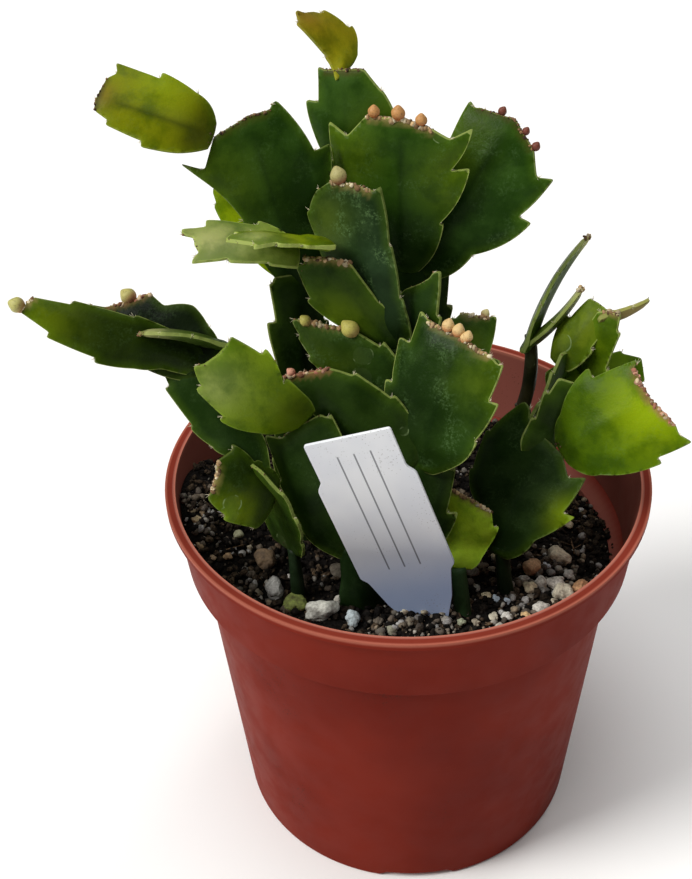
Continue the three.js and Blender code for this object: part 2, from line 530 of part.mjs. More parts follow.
function tagSolid(grow) {
  const shape = new THREE.Shape();
  shape.moveTo(tagOutline[0][1], tagOutline[0][0] - grow);
  for (const [along, out] of tagOutline.slice(1)) shape.lineTo(out + grow, along);
  for (const [along, out] of tagOutline.slice(1).toReversed()) shape.lineTo(-out - grow, along);
  const depth = tagThickness + 2 * grow;
  const geometry = new THREE.ExtrudeGeometry(shape, { depth, bevelEnabled: false });
  geometry.translate(0, 0, -depth / 2);
  const { rib, side, face } = directions(tag);
  const across = side.clone().negate();
  const basis = new THREE.Matrix4().makeBasis(across, rib, face);
  basis.setPosition(tag.start);
  geometry.applyMatrix4(basis);
  return toSolid(geometry);
}

addPiece('plant_tag', tagSolid(0), colourOf(0xd8dae6, 0.35));

// Pot: a thin walled cone with a deep collar, a flat lip, a notched foot ring and a drained floor
const shoulder = potHeight - collarHeight;
const wallTop = 47.4;
const lipWidth = 2.3;
const collarFoot = 50.9;
const collarTop = 52.4;
const ringHeight = 1.8;
const floorTop = ringHeight + 1.4;
const turns = 40;
const ledgeFoot = [wallTop - wall, shoulder - 3.4];
const ledgeHead = [collarFoot - wall, shoulder - 0.4];
const lipFoot = [rimRadius - lipWidth, potHeight - 0.6];
const notchWidth = 15;
const notchHeight = 1.6;
const notchAngles = [-90, 0, 90, 180];
const drainHoles = 6;
const drainRadius = 2.4;
const drainCircle = 24;
const hubRadius = 8.4;
const ringWidth = 4.4;

function lathe(profile, segments) {
  return toSolid(new THREE.LatheGeometry(profile.map(([r, z]) => new THREE.Vector2(r, z)), segments)
    .applyMatrix4(new THREE.Matrix4().makeRotationX(Math.PI / 2)));
}

function potSolid() {
  const profile = [
    [0, 0], [hubRadius, 0], [hubRadius + 0.6, ringHeight], [footRadius - ringWidth - 0.6, ringHeight],
    [footRadius - ringWidth, 0], [footRadius - 1, 0], [footRadius, 1.2], [wallTop, shoulder - 2.6],
    [collarFoot, shoulder + 0.6], [collarTop, potHeight - 2.2], [rimRadius - 0.3, potHeight - 1.8],
    [rimRadius, potHeight - 1.2], [rimRadius, potHeight - 0.5], [rimRadius - 0.5, potHeight],
    [rimRadius - lipWidth + 0.4, potHeight], lipFoot, ledgeHead, ledgeFoot,
    [footRadius - wall + 0.2, floorTop + 1.6], [footRadius - wall - 1.6, floorTop], [0, floorTop],
  ];
  let solid = lathe(profile, turns);
  const notch = new THREE.BoxGeometry(notchWidth, 2 * (ringWidth + 1.6), 2 * notchHeight);
  for (const angle of notchAngles) {
    const cut = notch.clone();
    cut.rotateZ(rad(angle + 90));
    cut.translate(Math.cos(rad(angle)) * footRadius, Math.sin(rad(angle)) * footRadius, 0);
    solid = solid.subtract(toSolid(cut));
  }
  for (let i = 0; i < drainHoles; i += 1) {
    const angle = (i + 0.5) * 2 * Math.PI / drainHoles;
    const drain = new THREE.CylinderGeometry(drainRadius, drainRadius, 4 * floorTop, 12);
    drain.rotateX(Math.PI / 2);
    drain.translate(drainCircle * Math.cos(angle), drainCircle * Math.sin(angle), 0);
    solid = solid.subtract(toSolid(drain));
  }
  return solid;
}

addPiece('pot', potSolid(), colourOf(0x86341f, 0.45));

// Potting mix: fills the pot to a little under the rim, with plain holes for the stems and the tag,
// a lumpy top and stones bedded in it
const soilRings = [10, 20, 29, 37, 43];
const soilSectors = 36;
const soilRelief = 0.6;
const wallGap = 0.5;
const edgeDrop = 0.8;
const bottomInset = 0.6;

// Where the mix lies higher or lower than level: x, y, height and reach. It is heaped against the wall
// on the left, sunken on the right and firmed up round the tag's foot.
const heaps = [[-50, -6, 10.5, 9], [-49, 10, 7, 8], [44, 18, -2.5, 9], [3, -33, 1.8, 6]];

function heapedAt(x, y) {
  return heaps.reduce((sum, [heapX, heapY, height, reachOut]) => {
    return sum + height * Math.exp(-((x - heapX) ** 2 + (y - heapY) ** 2) / (2 * reachOut ** 2));
  }, 0);
}

// The pot's inner radius at a height, on the ledge and on the collar above it
function innerRadius(z) {
  const [low, high] = z < ledgeHead[1] ? [ledgeFoot, ledgeHead] : [ledgeHead, lipFoot];
  const t = THREE.MathUtils.clamp((z - low[1]) / (high[1] - low[1]), 0, 1);
  return lerp(low[0], high[0], t);
}

function soilBed() {
  const draw = drawer(41);
  const positions = [0, 0, soilTop(0)];
  const addRing = (radiusAt, heightAt) => {
    const first = positions.length / 3;
    for (let s = 0; s < soilSectors; s += 1) {
      const angle = s * 2 * Math.PI / soilSectors;
      const z = heightAt(Math.cos(angle), Math.sin(angle));
      const radius = radiusAt(z);
      positions.push(radius * Math.cos(angle), radius * Math.sin(angle), z);
    }
    return first;
  };
  const lumpy = (x, y) => soilTop(x) + heapedAt(x, y) + draw(-soilRelief, soilRelief);
  const firsts = soilRings.map((r) => addRing(() => r, (c, s) => lumpy(r * c, r * s)));
  const edge = ledgeHead[0];
  const edgeHeight = (c, s) => soilTop(edge * c) + heapedAt(edge * c, edge * s) - edgeDrop;
  const footHeight = (c, s) => Math.min(ledgeFoot[1], edgeHeight(c, s) - gap);
  firsts.push(addRing((z) => innerRadius(z) - wallGap, edgeHeight));
  firsts.push(addRing(() => ledgeFoot[0] - wallGap, footHeight));
  firsts.push(addRing(() => footRadius - 2 * wall - bottomInset, () => floorTop + gap));
  const index = [];
  const last = firsts.at(-1);
  const centre = positions.length / 3;
  positions.push(0, 0, floorTop + gap);
  for (let s = 0; s < soilSectors; s += 1) {
    const next = (s + 1) % soilSectors;
    index.push(0, firsts[0] + s, firsts[0] + next, last + s, centre, last + next);
    for (let r = 1; r < firsts.length; r += 1) {
      const [a, b] = [firsts[r - 1] + s, firsts[r - 1] + next];
      const [c, d] = [firsts[r] + s, firsts[r] + next];
      index.push(a, c, d, a, d, b);
    }
  }
  const geometry = new THREE.BufferGeometry();
  geometry.setAttribute('position', new THREE.Float32BufferAttribute(positions, 3));
  geometry.setIndex(index);
  return toSolid(geometry);
}

// The larger stones that show, as x, y and radius, and how many small ones are strewn between them
const shownStones = [
  [-28.5, -35, 2.2], [-25, -38.5, 1.6], [-20.5, -39.5, 1.9], [-31, -29, 1.5], [-14, -42, 1.7],
  [24.5, -31, 2.4], [30, -27, 2.2], [34.5, -22.5, 2.6], [28.5, -35, 2], [36, -28, 1.8],
  [20.5, -37, 1.6], [39, -18, 1.9],
];
const strewnStones = 9;
const strewnRadius = 42;
const stemClearance = 5.6;
const tagClearance = 9;
const stoneShare = 0.3;

function stoneSolid([x, y, radius], draw) {
  const geometry = new THREE.IcosahedronGeometry(radius);
  geometry.scale(draw(0.85, 1.3), draw(0.8, 1), draw(0.6, 0.8));
  geometry.rotateX(draw(-0.4, 0.4));
  geometry.rotateZ(draw(0, Math.PI));
  geometry.translate(x, y, soilTop(x) + heapedAt(x, y) + stoneShare * radius);
  return toSolid(geometry);
}

function stones() {
  const draw = drawer(17);
  const feet = [...placed.values()].filter((place) => place.row.foot).map((place) => place.start);
  const kept = [...shownStones];
  const free = ([x, y, radius]) => {
    const offFeet = feet.every((p) => Math.hypot(p.x - x, p.y - y) > radius + stemClearance);
    const offTag = Math.hypot(tag.start.x - x, tag.start.y - y) > radius + tagClearance;
    return offFeet && offTag && kept.every((k) => Math.hypot(k[0] - x, k[1] - y) > radius + k[2]);
  };
  while (kept.length < shownStones.length + strewnStones) {
    const angle = draw(0, 2 * Math.PI);
    const far = strewnRadius * Math.sqrt(draw(0, 1));
    const stone = [far * Math.cos(angle), far * Math.sin(angle), draw(1, 1.9)];
    if (free(stone)) kept.push(stone);
  }
  return kept.map((stone) => stoneSolid(stone, draw));
}

function soilSolid() {
  let solid = join([soilBed(), ...stones()]);
  for (const place of placed.values()) {
    if (place.row.foot) solid = solid.subtract(footHole(place));
  }
  return solid.subtract(tagSolid(1.5 * gap));
}

addPiece('potting_mix', wholeBody(soilSolid()), colourOf(0x2a231c, 0.95));

export default group;
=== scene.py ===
import math
import random

import bmesh
import bpy
import numpy as np
from mathutils import Matrix, Vector, noise


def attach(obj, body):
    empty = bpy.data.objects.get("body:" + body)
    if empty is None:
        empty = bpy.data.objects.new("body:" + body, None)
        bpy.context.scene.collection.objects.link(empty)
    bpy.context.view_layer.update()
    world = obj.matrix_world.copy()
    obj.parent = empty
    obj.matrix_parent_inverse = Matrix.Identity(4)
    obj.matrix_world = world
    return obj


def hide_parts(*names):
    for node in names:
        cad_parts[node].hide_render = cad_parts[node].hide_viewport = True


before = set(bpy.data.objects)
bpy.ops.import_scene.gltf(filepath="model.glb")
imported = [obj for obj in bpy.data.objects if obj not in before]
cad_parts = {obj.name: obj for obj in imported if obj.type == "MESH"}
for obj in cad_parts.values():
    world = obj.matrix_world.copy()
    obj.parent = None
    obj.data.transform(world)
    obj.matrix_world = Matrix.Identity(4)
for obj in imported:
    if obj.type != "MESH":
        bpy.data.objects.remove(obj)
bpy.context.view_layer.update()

mm = 0.001

# Camera
# It stands where the photographer stood: in front, a forearm's length away, looking down at the
# rim, with the slight roll that the picture has. Its lens gives the photograph's own perspective.
camera_aim = Vector((-13.3, 0, 103.6)) * mm
camera_distance = 290.5 * mm
camera_height_angle = math.radians(37.95)
camera_roll = math.radians(2.1)
camera_data = bpy.data.cameras.new("camera")
camera_data.lens = 54.06
camera_data.sensor_width = 36
camera_data.clip_start = 10 * mm
camera = bpy.data.objects.new("camera", camera_data)
bpy.context.scene.collection.objects.link(camera)
backwards = Vector((0, -math.cos(camera_height_angle), math.sin(camera_height_angle)))
level_right = Vector((1, 0, 0))
level_up = backwards.cross(level_right)
right = level_right * math.cos(camera_roll) - level_up * math.sin(camera_roll)
up = level_right * math.sin(camera_roll) + level_up * math.cos(camera_roll)
turned = Matrix((right, up, backwards)).transposed().to_4x4()
camera.matrix_world = Matrix.Translation(camera_aim + backwards * camera_distance) @ turned
bpy.context.scene.camera = camera

# Pot
# A thin round nursery pot of terracotta coloured polypropylene, injection moulded in one piece: a
# tapered wall, a deep collar with a flat lip, and a foot ring with four notches round a drained floor.
pot_height = 95
rim_radius = 54
lip_width = 2.3
collar_height = 18.5
collar_foot = 50.9
wall_top = 47.4
wall = 1.3
foot_radius = 41.5
ring_height = 1.8
floor_top = ring_height + 1.4
shoulder = pot_height - collar_height
ledge_foot = (wall_top - wall, shoulder - 3.4)
ledge_head = (collar_foot - wall, shoulder - 0.4)
lip_foot = (rim_radius - lip_width, pot_height)
pot_steps = 144
notch_width = 15
notch_height = 1.75
notched_ring = 5.2
drain_holes = 6
drain_radius = 2.4
drain_circle = 24
clay = (120, 38, 25)
dark_clay = (106, 31, 20)
inside_light_and_dust = (160, 104, 92)
lip_highlight_clay = (206, 128, 106)
scuffed_clay = (172, 92, 74)
pot_grime = (60, 36, 28)
pot_outline = [
    (0, 0), (8.4, 0), (9, ring_height), (foot_radius - 5, ring_height), (foot_radius - 4.4, 0),
    (foot_radius - 0.5, 0), (foot_radius, 0.6), (wall_top, shoulder - 2.6), (collar_foot, shoulder + 0.6),
    (52.4, pot_height - 2.2), (rim_radius, pot_height - 1.6), (rim_radius, pot_height),
    lip_foot, ledge_head, ledge_foot,
    (foot_radius - wall + 0.2, floor_top + 1.6), (foot_radius - wall - 1.6, floor_top), (0, floor_top),
]
# Which of those points the outer wall starts from
outer_wall = 6


def add_object(name, bm, *materials):
    """The bmesh, in millimetres, as a smooth shaded object at the origin, in metres."""
    bmesh.ops.scale(bm, vec=(mm, mm, mm), verts=bm.verts[:])
    for face in bm.faces:
        face.smooth = True
    mesh = bpy.data.meshes.new(name)
    bm.to_mesh(mesh)
    bm.free()
    for material in materials:
        mesh.materials.append(material)
    piece = bpy.data.objects.new(name, mesh)
    bpy.context.scene.collection.objects.link(piece)
    return piece


def lathe(points, steps, merge_distance):
    """The closed round shape that an outline makes when it goes once round the pot's axis."""
    bm = bmesh.new()
    verts = [bm.verts.new(point) for point in points]
    edges = [bm.edges.new(pair) for pair in zip(verts, verts[1:])]
    bmesh.ops.spin(
        bm, geom=verts + edges, cent=(0, 0, 0), axis=(0, 0, 1), dvec=(0, 0, 0), angle=2 * math.pi,
        steps=steps, use_merge=True, use_duplicate=False,
    )
    bmesh.ops.remove_doubles(bm, verts=bm.verts[:], dist=merge_distance)
    bmesh.ops.recalc_face_normals(bm, faces=bm.faces[:])
    return bm


def new_material(name, roughness, specular=0.5):
    """A node material, its tree and its Principled shader."""
    material = bpy.data.materials.new(name)
    material.use_nodes = True
    shader = material.node_tree.nodes["Principled BSDF"]
    shader.inputs["Roughness"].default_value = roughness
    shader.inputs["Specular IOR Level"].default_value = specular
    return material, material.node_tree, shader


def colour(red, green, blue):
    """An sRGB colour in steps of 255, as a shader takes it."""
    steps = (red / 255, green / 255, blue / 255)
    return tuple(s / 12.92 if s < 0.04 else ((s + 0.055) / 1.055) ** 2.4 for s in steps) + (1,)


def add_node(tree, kind, inputs=None, **settings):
    """A shader node with its settings, and its inputs either set or linked."""
    node = tree.nodes.new(kind)
    for key, value in settings.items():
        setattr(node, key, value)
    for key, value in (inputs or {}).items():
        if isinstance(value, bpy.types.NodeSocket):
            tree.links.new(value, node.inputs[key])
        else:
            node.inputs[key].default_value = value
    return node


def blend(tree, factor, first, second, mode="MIX"):
    """One colour over another, by a factor. A plain colour is given in sRGB steps."""
    first, second = (colour(*tone) if isinstance(tone, tuple) else tone for tone in (first, second))
    inputs = {0: factor, 6: first, 7: second}
    return add_node(tree, "ShaderNodeMix", inputs, data_type="RGBA", blend_type=mode).outputs[2]


def ramp(tree, value, low, high, start=0.0, end=1.0):
    """A smooth change from start to end while the value goes from low to high."""
    inputs = {0: value, 1: low, 2: high, 3: start, 4: end}
    return add_node(tree, "ShaderNodeMapRange", inputs, interpolation_type="SMOOTHSTEP").outputs[0]


def arithmetic(tree, operation, first, second=0.0):
    """A Math node's result."""
    return add_node(tree, "ShaderNodeMath", {0: first, 1: second}, operation=operation).outputs[0]


def times(tree, first, second):
    return arithmetic(tree, "MULTIPLY", first, second)


def cells(tree, place, scale):
    """A pattern of cells, by how far each point is from its cell's middle."""
    return add_node(tree, "ShaderNodeTexVoronoi", {"Vector": place, "Scale": scale}).outputs


def place_of(tree):
    """Object coordinates, which is where the pattern lies on the piece."""
    return add_node(tree, "ShaderNodeTexCoord").outputs["Object"]


def mottle(tree, place, scale, detail=3.0, roughness=0.55):
    """A soft noise, from 0 to 1."""
    inputs = {"Vector": place, "Scale": scale, "Detail": detail, "Roughness": roughness}
    return add_node(tree, "ShaderNodeTexNoise", inputs).outputs["Fac"]


def set_bump(tree, shader, height, distance, strength=1.0):
    """Relief in the shader's normal."""
    inputs = {"Height": height, "Distance": distance, "Strength": strength}
    tree.links.new(add_node(tree, "ShaderNodeBump", inputs).outputs[0], shader.inputs["Normal"])


def new_group(name, inputs, outputs):
    """A shared node group of values: its tree, its inputs and its output node."""
    tree = bpy.data.node_groups.new(name, "ShaderNodeTree")
    for key, start in inputs.items():
        socket = tree.interface.new_socket(name=key, in_out="INPUT", socket_type="NodeSocketFloat")
        socket.default_value = start
    for key in outputs:
        tree.interface.new_socket(name=key, in_out="OUTPUT", socket_type="NodeSocketFloat")
    return tree, tree.nodes.new("NodeGroupInput").outputs, tree.nodes.new("NodeGroupOutput")


def placed_group(tree, group, **values):
    """A shared node group in a material, with that material's values."""
    node = tree.nodes.new("ShaderNodeGroup")
    node.node_tree = group
    for socket, value in zip(node.inputs, values.values()):
        socket.default_value = value
    return node.outputs


def dust_group():
    """Shared by the pot and the tag: grains of dust and potting mix stuck to a surface."""
    inputs = {"Grains per metre": 900.0, "Patches per metre": 40.0, "Cover": 0.5}
    tree, given, result = new_group("dust", inputs, ["Mask"])
    place = place_of(tree)
    grains = cells(tree, place, given[0])
    patches = mottle(tree, place, given[1], 2.0)
    bare = arithmetic(tree, "SUBTRACT", 1.0, given[2])
    near = arithmetic(tree, "SUBTRACT", patches, times(tree, bare, 0.8))
    size = times(tree, near, 0.9)
    inside = arithmetic(tree, "LESS_THAN", grains["Distance"], size)
    tree.links.new(inside, result.inputs["Mask"])
    return tree


dust = dust_group()


def line_through(tree, height, low, high):
    """The radius at a height, on the straight line through two points of an outline."""
    slope = (high[0] - low[0]) / (high[1] - low[1])
    rise = times(tree, height, slope)
    return arithmetic(tree, "ADD", rise, (low[0] - slope * low[1]) * mm)


def pot_plastic():
    material, tree, shader = new_material("terracotta_plastic", 0.52, 0.03)
    place = place_of(tree)
    parts = add_node(tree, "ShaderNodeSeparateXYZ", {0: place})
    height = parts.outputs["Z"]
    level = add_node(tree, "ShaderNodeCombineXYZ", {0: parts.outputs["X"], 1: parts.outputs["Y"]})
    distance = add_node(tree, "ShaderNodeVectorMath", {0: level.outputs[0]}, operation="LENGTH")
    radius = distance.outputs["Value"]
    cloud = ramp(tree, mottle(tree, place, 28.0), 0.35, 0.7)
    body = blend(tree, cloud, clay, dark_clay)
    walls = [pot_outline[i:i + 2] for i in range(outer_wall, outer_wall + 3)]
    below, step, above = (line_through(tree, height, low, high) for low, high in walls)
    outside = arithmetic(tree, "MAXIMUM", below, arithmetic(tree, "MINIMUM", step, above))
    depth = arithmetic(tree, "SUBTRACT", outside, radius)
    inside = ramp(tree, depth, 0.12 * wall * mm, 0.3 * wall * mm)
    # Painted light, with some dust: the inner wall is blended towards a paler clay, standing in for light
    # that reaches inside the pot.
    inside_lit_and_dusty = blend(tree, times(tree, inside, 0.55), body, inside_light_and_dust)
    # Painted highlight: the lip's top is a little lighter, and most of all along its outer and inner edges.
    lip = ramp(tree, height, (pot_height - 1.0) * mm, (pot_height - 0.2) * mm)
    outer = ramp(tree, radius, (rim_radius - 0.7) * mm, (rim_radius - 0.2) * mm)
    inner = ramp(tree, radius, (rim_radius - lip_width + 0.6) * mm, (rim_radius - lip_width + 0.2) * mm)
    edge_highlight = times(tree, arithmetic(tree, "MAXIMUM", outer, inner), 0.4)
    lip_highlight = times(tree, lip, arithmetic(tree, "ADD", edge_highlight, 0.06))
    edge = blend(tree, lip_highlight, inside_lit_and_dusty, lip_highlight_clay)
    scuff_place = add_node(tree, "ShaderNodeMapping", {"Vector": place, "Scale": (1, 1, 9)}).outputs[0]
    scuffs = ramp(tree, mottle(tree, scuff_place, 70.0, 6.0, 0.7), 0.62, 0.72)
    scuffed = blend(tree, times(tree, scuffs, 0.07), edge, scuffed_clay)
    specks = placed_group(tree, dust, grains=1100.0, patches=55.0, cover=0.42)["Mask"]
    grains = times(tree, specks, 0.5)
    dusty = blend(tree, grains, scuffed, pot_grime)
    tree.links.new(dusty, shader.inputs["Base Color"])
    sheen = ramp(tree, mottle(tree, place, 160.0, 4.0), 0.3, 0.75, 0.44, 0.6)
    tree.links.new(sheen, shader.inputs["Roughness"])
    set_bump(tree, shader, mottle(tree, place, 900.0, 3.0), 0.02 * mm, 0.35)
    return material


def cut_drains(shell):
    """The six drain holes through the floor, cut with round plugs that are then thrown away."""
    bm = bmesh.new()
    for i in range(drain_holes):
        angle = (i + 0.5) * math.tau / drain_holes
        spot = Matrix.Translation((drain_circle * math.cos(angle), drain_circle * math.sin(angle), 0))
        bmesh.ops.create_cone(
            bm, cap_ends=True, segments=32, radius1=drain_radius, radius2=drain_radius, depth=4 * floor_top,
            matrix=spot,
        )
    plugs = add_object("plugs", bm)
    cut = shell.modifiers.new("drain holes", "BOOLEAN")
    cut.operation = "DIFFERENCE"
    cut.object = plugs
    bpy.context.view_layer.update()
    whole = shell.evaluated_get(bpy.context.evaluated_depsgraph_get())
    drained = bpy.data.meshes.new_from_object(whole)
    shell.modifiers.remove(cut)
    shell.data = drained
    bpy.data.objects.remove(plugs)


def make_pot():
    bm = lathe([(radius, 0, height) for radius, height in pot_outline], pot_steps, 0.001)
    half_notch = notch_width / 2
    for vert in bm.verts:
        across = min(abs(vert.co.x), abs(vert.co.y))
        on_ring = math.hypot(vert.co.x, vert.co.y) > foot_radius - notched_ring
        if on_ring and vert.co.z < notch_height and across < half_notch:
            vert.co.z = notch_height
    pot = add_object("pot_shell", bm, pot_plastic())
    cut_drains(pot)
    rounding = pot.modifiers.new("moulded edges", "BEVEL")
    rounding.width = 0.35 * mm
    rounding.segments = 3
    rounding.limit_method = "ANGLE"
    rounding.angle_limit = math.radians(35)
    weighting = pot.modifiers.new("flat faces", "WEIGHTED_NORMAL")
    weighting.keep_sharp = True
    return pot


pot = make_pot()
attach(pot, "root")
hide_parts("pot")

# Potting mix
# Peat and composted bark, nearly black when moist, with washed grit stirred in. It lies loose in the
# pot, level to a little over a millimetre, and higher on the left. The crumbs, stones and fibres on
# top are what the eye sees; the bed below them closes the surface.
soil_height = 77.2
soil_fall = 0.055
soil_rings = 54
soil_steps = 170
soil_wall_gap = 0.35
soil_edge_drop = 0.6
soil_edge_share = 0.93
peat_tone = (22, 18, 15)
bark_tone = (104, 88, 70)
mix_shade = (120, 112, 104)
# Where it lies higher or lower than level: x, y, height and reach
heaps = [(-50, -6, 10.5, 9), (-49, 10, 7, 8), (44, 18, -2.5, 9), (3, -33, 1.8, 6)]


def soil_level(x):
    return soil_height - soil_fall * x


def soil_top(x, y):
    """The top of the mix: heaped against the wall on the left, sunken on the right."""
    heaped = (
        height * math.exp(-((x - heap_x) ** 2 + (y - heap_y) ** 2) / (2 * reach ** 2))
        for heap_x, heap_y, height, reach in heaps
    )
    return soil_level(x) + sum(heaped)


def soil_relief(x, y):
    coarse = noise.noise(Vector((x * 0.12, y * 0.12, 3.1)))
    fine = noise.noise(Vector((x * 0.6, y * 0.6, 7.7)))
    return 0.9 * coarse + 0.45 * fine - 0.3


def wall_radius(z):
    """The pot's inner radius at a height, on the ledge and on the collar above it."""
    low, high = (ledge_foot, ledge_head) if z < ledge_head[1] else (ledge_head, lip_foot)
    share = (z - low[1]) / (high[1] - low[1])
    return low[0] + (high[0] - low[0]) * min(max(share, 0), 1)


def mix(low, high, share):
    return low + (high - low) * share


def ease(value, low, high):
    share = min(max((value - low) / (high - low), 0), 1)
    return share * share * (3 - 2 * share)


def own_tint(tree):
    """The colour that a mesh carries at each of its points."""
    return add_node(tree, "ShaderNodeAttribute", attribute_name="tint").outputs["Color"]


def mix_material(name, roughness):
    """Peat and bark: each crumb keeps its own shade, with a fibrous grain."""
    material, tree, shader = new_material(name, roughness, 0.15)
    grain = mottle(tree, place_of(tree), 1400.0, 4.0)
    own = own_tint(tree)
    shadow = blend(tree, 1.0, own, mix_shade, "MULTIPLY")
    fibrous = blend(tree, ramp(tree, grain, 0.35, 0.7), shadow, own)
    tree.links.new(fibrous, shader.inputs["Base Color"])
    clumps = cells(tree, place_of(tree), 900.0)
    rough = arithmetic(tree, "SUBTRACT", times(tree, grain, 0.3), clumps["Distance"])
    set_bump(tree, shader, rough, 0.5 * mm, 0.9)
    return material


def make_bed():
    """A round bed of unit size, whose rings are then laid on the mix's top, its wall and its floor."""
    top = [(i / soil_rings, 0, 1) for i in range(soil_rings + 1)]
    bm = lathe(top + [(1, 0, 0.5), (1, 0, 0), (0, 0, 0)], soil_steps, 1e-5)
    tint = bm.verts.layers.float_color.new("tint")
    for vert in bm.verts:
        share = math.hypot(vert.co.x, vert.co.y)
        level = vert.co.z
        cosine = vert.co.x / share if share > 0 else 0
        sine = vert.co.y / share if share > 0 else 0
        edge_top = soil_top(ledge_head[0] * cosine, ledge_head[0] * sine) - soil_edge_drop
        if level > 0.9:
            radius = share * (wall_radius(edge_top) - soil_wall_gap)
            x, y = radius * cosine, radius * sine
            z = min(soil_top(x, y) + soil_relief(x, y), soil_top(x, y) + 0.4)
            z = mix(z, edge_top, ease(share, soil_edge_share, 1))
        elif level > 0.4:
            z = min(ledge_foot[1], edge_top - 0.5)
            radius = ledge_foot[0] - soil_wall_gap
        else:
            z = floor_top + 0.3
            radius = share * (foot_radius - wall - 1.9)
        vert.co = (radius * cosine, radius * sine, z)
        vert[tint] = colour(*peat_tone)
    return add_object("potting_mix_bed", bm, mix_material("peat", 0.95))


bed = make_bed()
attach(bed, "root")
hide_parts("potting_mix")

# Bark crumbs, grit and fibres
# Crumbs of bark and peat from dust size to 3 mm, grit of quartz and pumice of about the same size,
# larger stones of several kinds that lie where the photograph has them, and a few root fibres.
crumb_count = 6200
crumb_reach = 49
chip_count = 260
grit_count = 1150
grit_reach = 48.5
fibre_count = 34
fibre_reach = 46
batch_size = 60
chip_tones = ((32, 25, 19), (112, 92, 70))
stone_shade = (70, 62, 54)
stone_dirt = (62, 50, 40)
fibre_tone = (150, 120, 90)
# Where most grit lies, and in the next list most chips of bark: x, y and how far they spread
grit_spots = [
    (8, -38, 7), (22, -34, 7), (-6, -36, 6), (27, -20, 8), (36, -16, 6), (-34, -24, 7), (-44, -8, 4),
]
chip_spots = [(-44, -4, 7), (-40, 12, 7), (38, 4, 7), (30, -4, 9), (-33, -20, 6), (10, -34, 14)]
# Each stone: x, y, radius, and its colour in sRGB steps
stones = [
    (-45.6, 13.4, 1.3, (196, 180, 150)), (-38.3, -8.3, 1.2, (140, 140, 112)),
    (-35.7, -10.4, 0.7, (150, 140, 120)), (-43.4, -15.7, 0.8, (150, 128, 100)),
    (-40.3, -14.6, 0.9, (170, 140, 104)), (-32.3, -13.1, 2.4, (112, 92, 68)),
    (-30.0, -21.6, 2.4, (176, 176, 172)), (-25.8, -26.0, 2.4, (124, 136, 66)),
    (-19.8, -28.2, 2.9, (196, 196, 186)), (-13.4, -30.1, 1.9, (176, 188, 192)),
    (-16.3, -24.5, 1.1, (190, 186, 176)), (-15.5, -15.6, 2.1, (128, 120, 106)),
    (-33.7, -22.4, 0.8, (150, 140, 120)), (-46.2, -14.0, 0.8, (140, 120, 90)),
    (-47.8, -7.4, 0.7, (150, 132, 104)), (-45.7, -7.2, 0.7, (130, 110, 84)),
    (-46.9, -9.1, 1.1, (180, 160, 124)), (-27.0, -17.1, 0.7, (190, 186, 180)),
    (-41.8, -4.9, 0.7, (160, 140, 110)), (33.8, -10.2, 2.4, (196, 184, 160)),
    (27.3, -14.2, 2.4, (190, 150, 112)), (30.6, -13.5, 1.1, (196, 200, 206)),
    (35.2, -16.1, 1.3, (180, 178, 172)), (25.1, -17.7, 1.0, (200, 196, 186)),
    (29.0, -18.8, 1.6, (204, 200, 190)), (32.0, -19.2, 2.0, (206, 200, 190)),
    (26.1, -20.4, 1.6, (204, 192, 160)), (32.9, -22.4, 2.2, (208, 200, 178)),
    (37.2, -20.1, 1.8, (196, 150, 108)), (27.7, -26.5, 1.6, (206, 202, 192)),
    (30.8, -24.5, 0.9, (180, 170, 150)), (25.1, -9.0, 1.3, (190, 178, 156)),
    (38.1, 1.1, 1.1, (190, 176, 146)), (18.2, -23.7, 1.0, (170, 184, 196)),
    (20.3, -24.6, 1.0, (170, 184, 196)), (16.1, -23.1, 1.1, (190, 178, 146)),
    (14.1, -20.6, 0.9, (150, 148, 140)), (17.1, -29.2, 1.0, (186, 180, 160)),
    (19.9, -29.2, 1.2, (206, 204, 196)), (24.1, -28.8, 1.1, (200, 168, 120)),
    (9.8, -31.8, 0.9, (150, 156, 130)), (13.0, -31.3, 0.9, (170, 160, 140)),
    (13.9, -15.6, 1.3, (140, 132, 118)), (16.2, -13.3, 1.1, (150, 140, 120)),
    (18.1, -14.5, 0.9, (160, 150, 130)), (19.7, -10.3, 1.1, (190, 176, 140)),
    (-2.2, -28.4, 1.2, (176, 170, 150)), (2.0, -29.1, 1.0, (160, 152, 130)),
    (4.7, -27.6, 0.9, (150, 140, 120)), (-5.1, -34.1, 1.3, (150, 150, 130)),
    (-1.1, -32.1, 1.1, (120, 112, 96)), (6.8, -28.5, 1.1, (120, 108, 92)),
    (8.3, -23.5, 1.1, (38, 32, 28)), (11.8, -26.1, 0.9, (110, 100, 88)), (-7.9, -31.0, 1.0, (96, 88, 76)),
]


def tinted_bmesh():
    """An empty bmesh whose points carry a colour, and the layer that holds it."""
    bm = bmesh.new()
    return bm, bm.verts.layers.float_color.new("tint")


def anywhere(draw, reach):
    """A spot in a circle round the pot's axis, as likely here as there."""
    angle = draw.uniform(0, math.tau)
    radius = reach * math.sqrt(draw.random())
    return radius * math.cos(angle), radius * math.sin(angle)


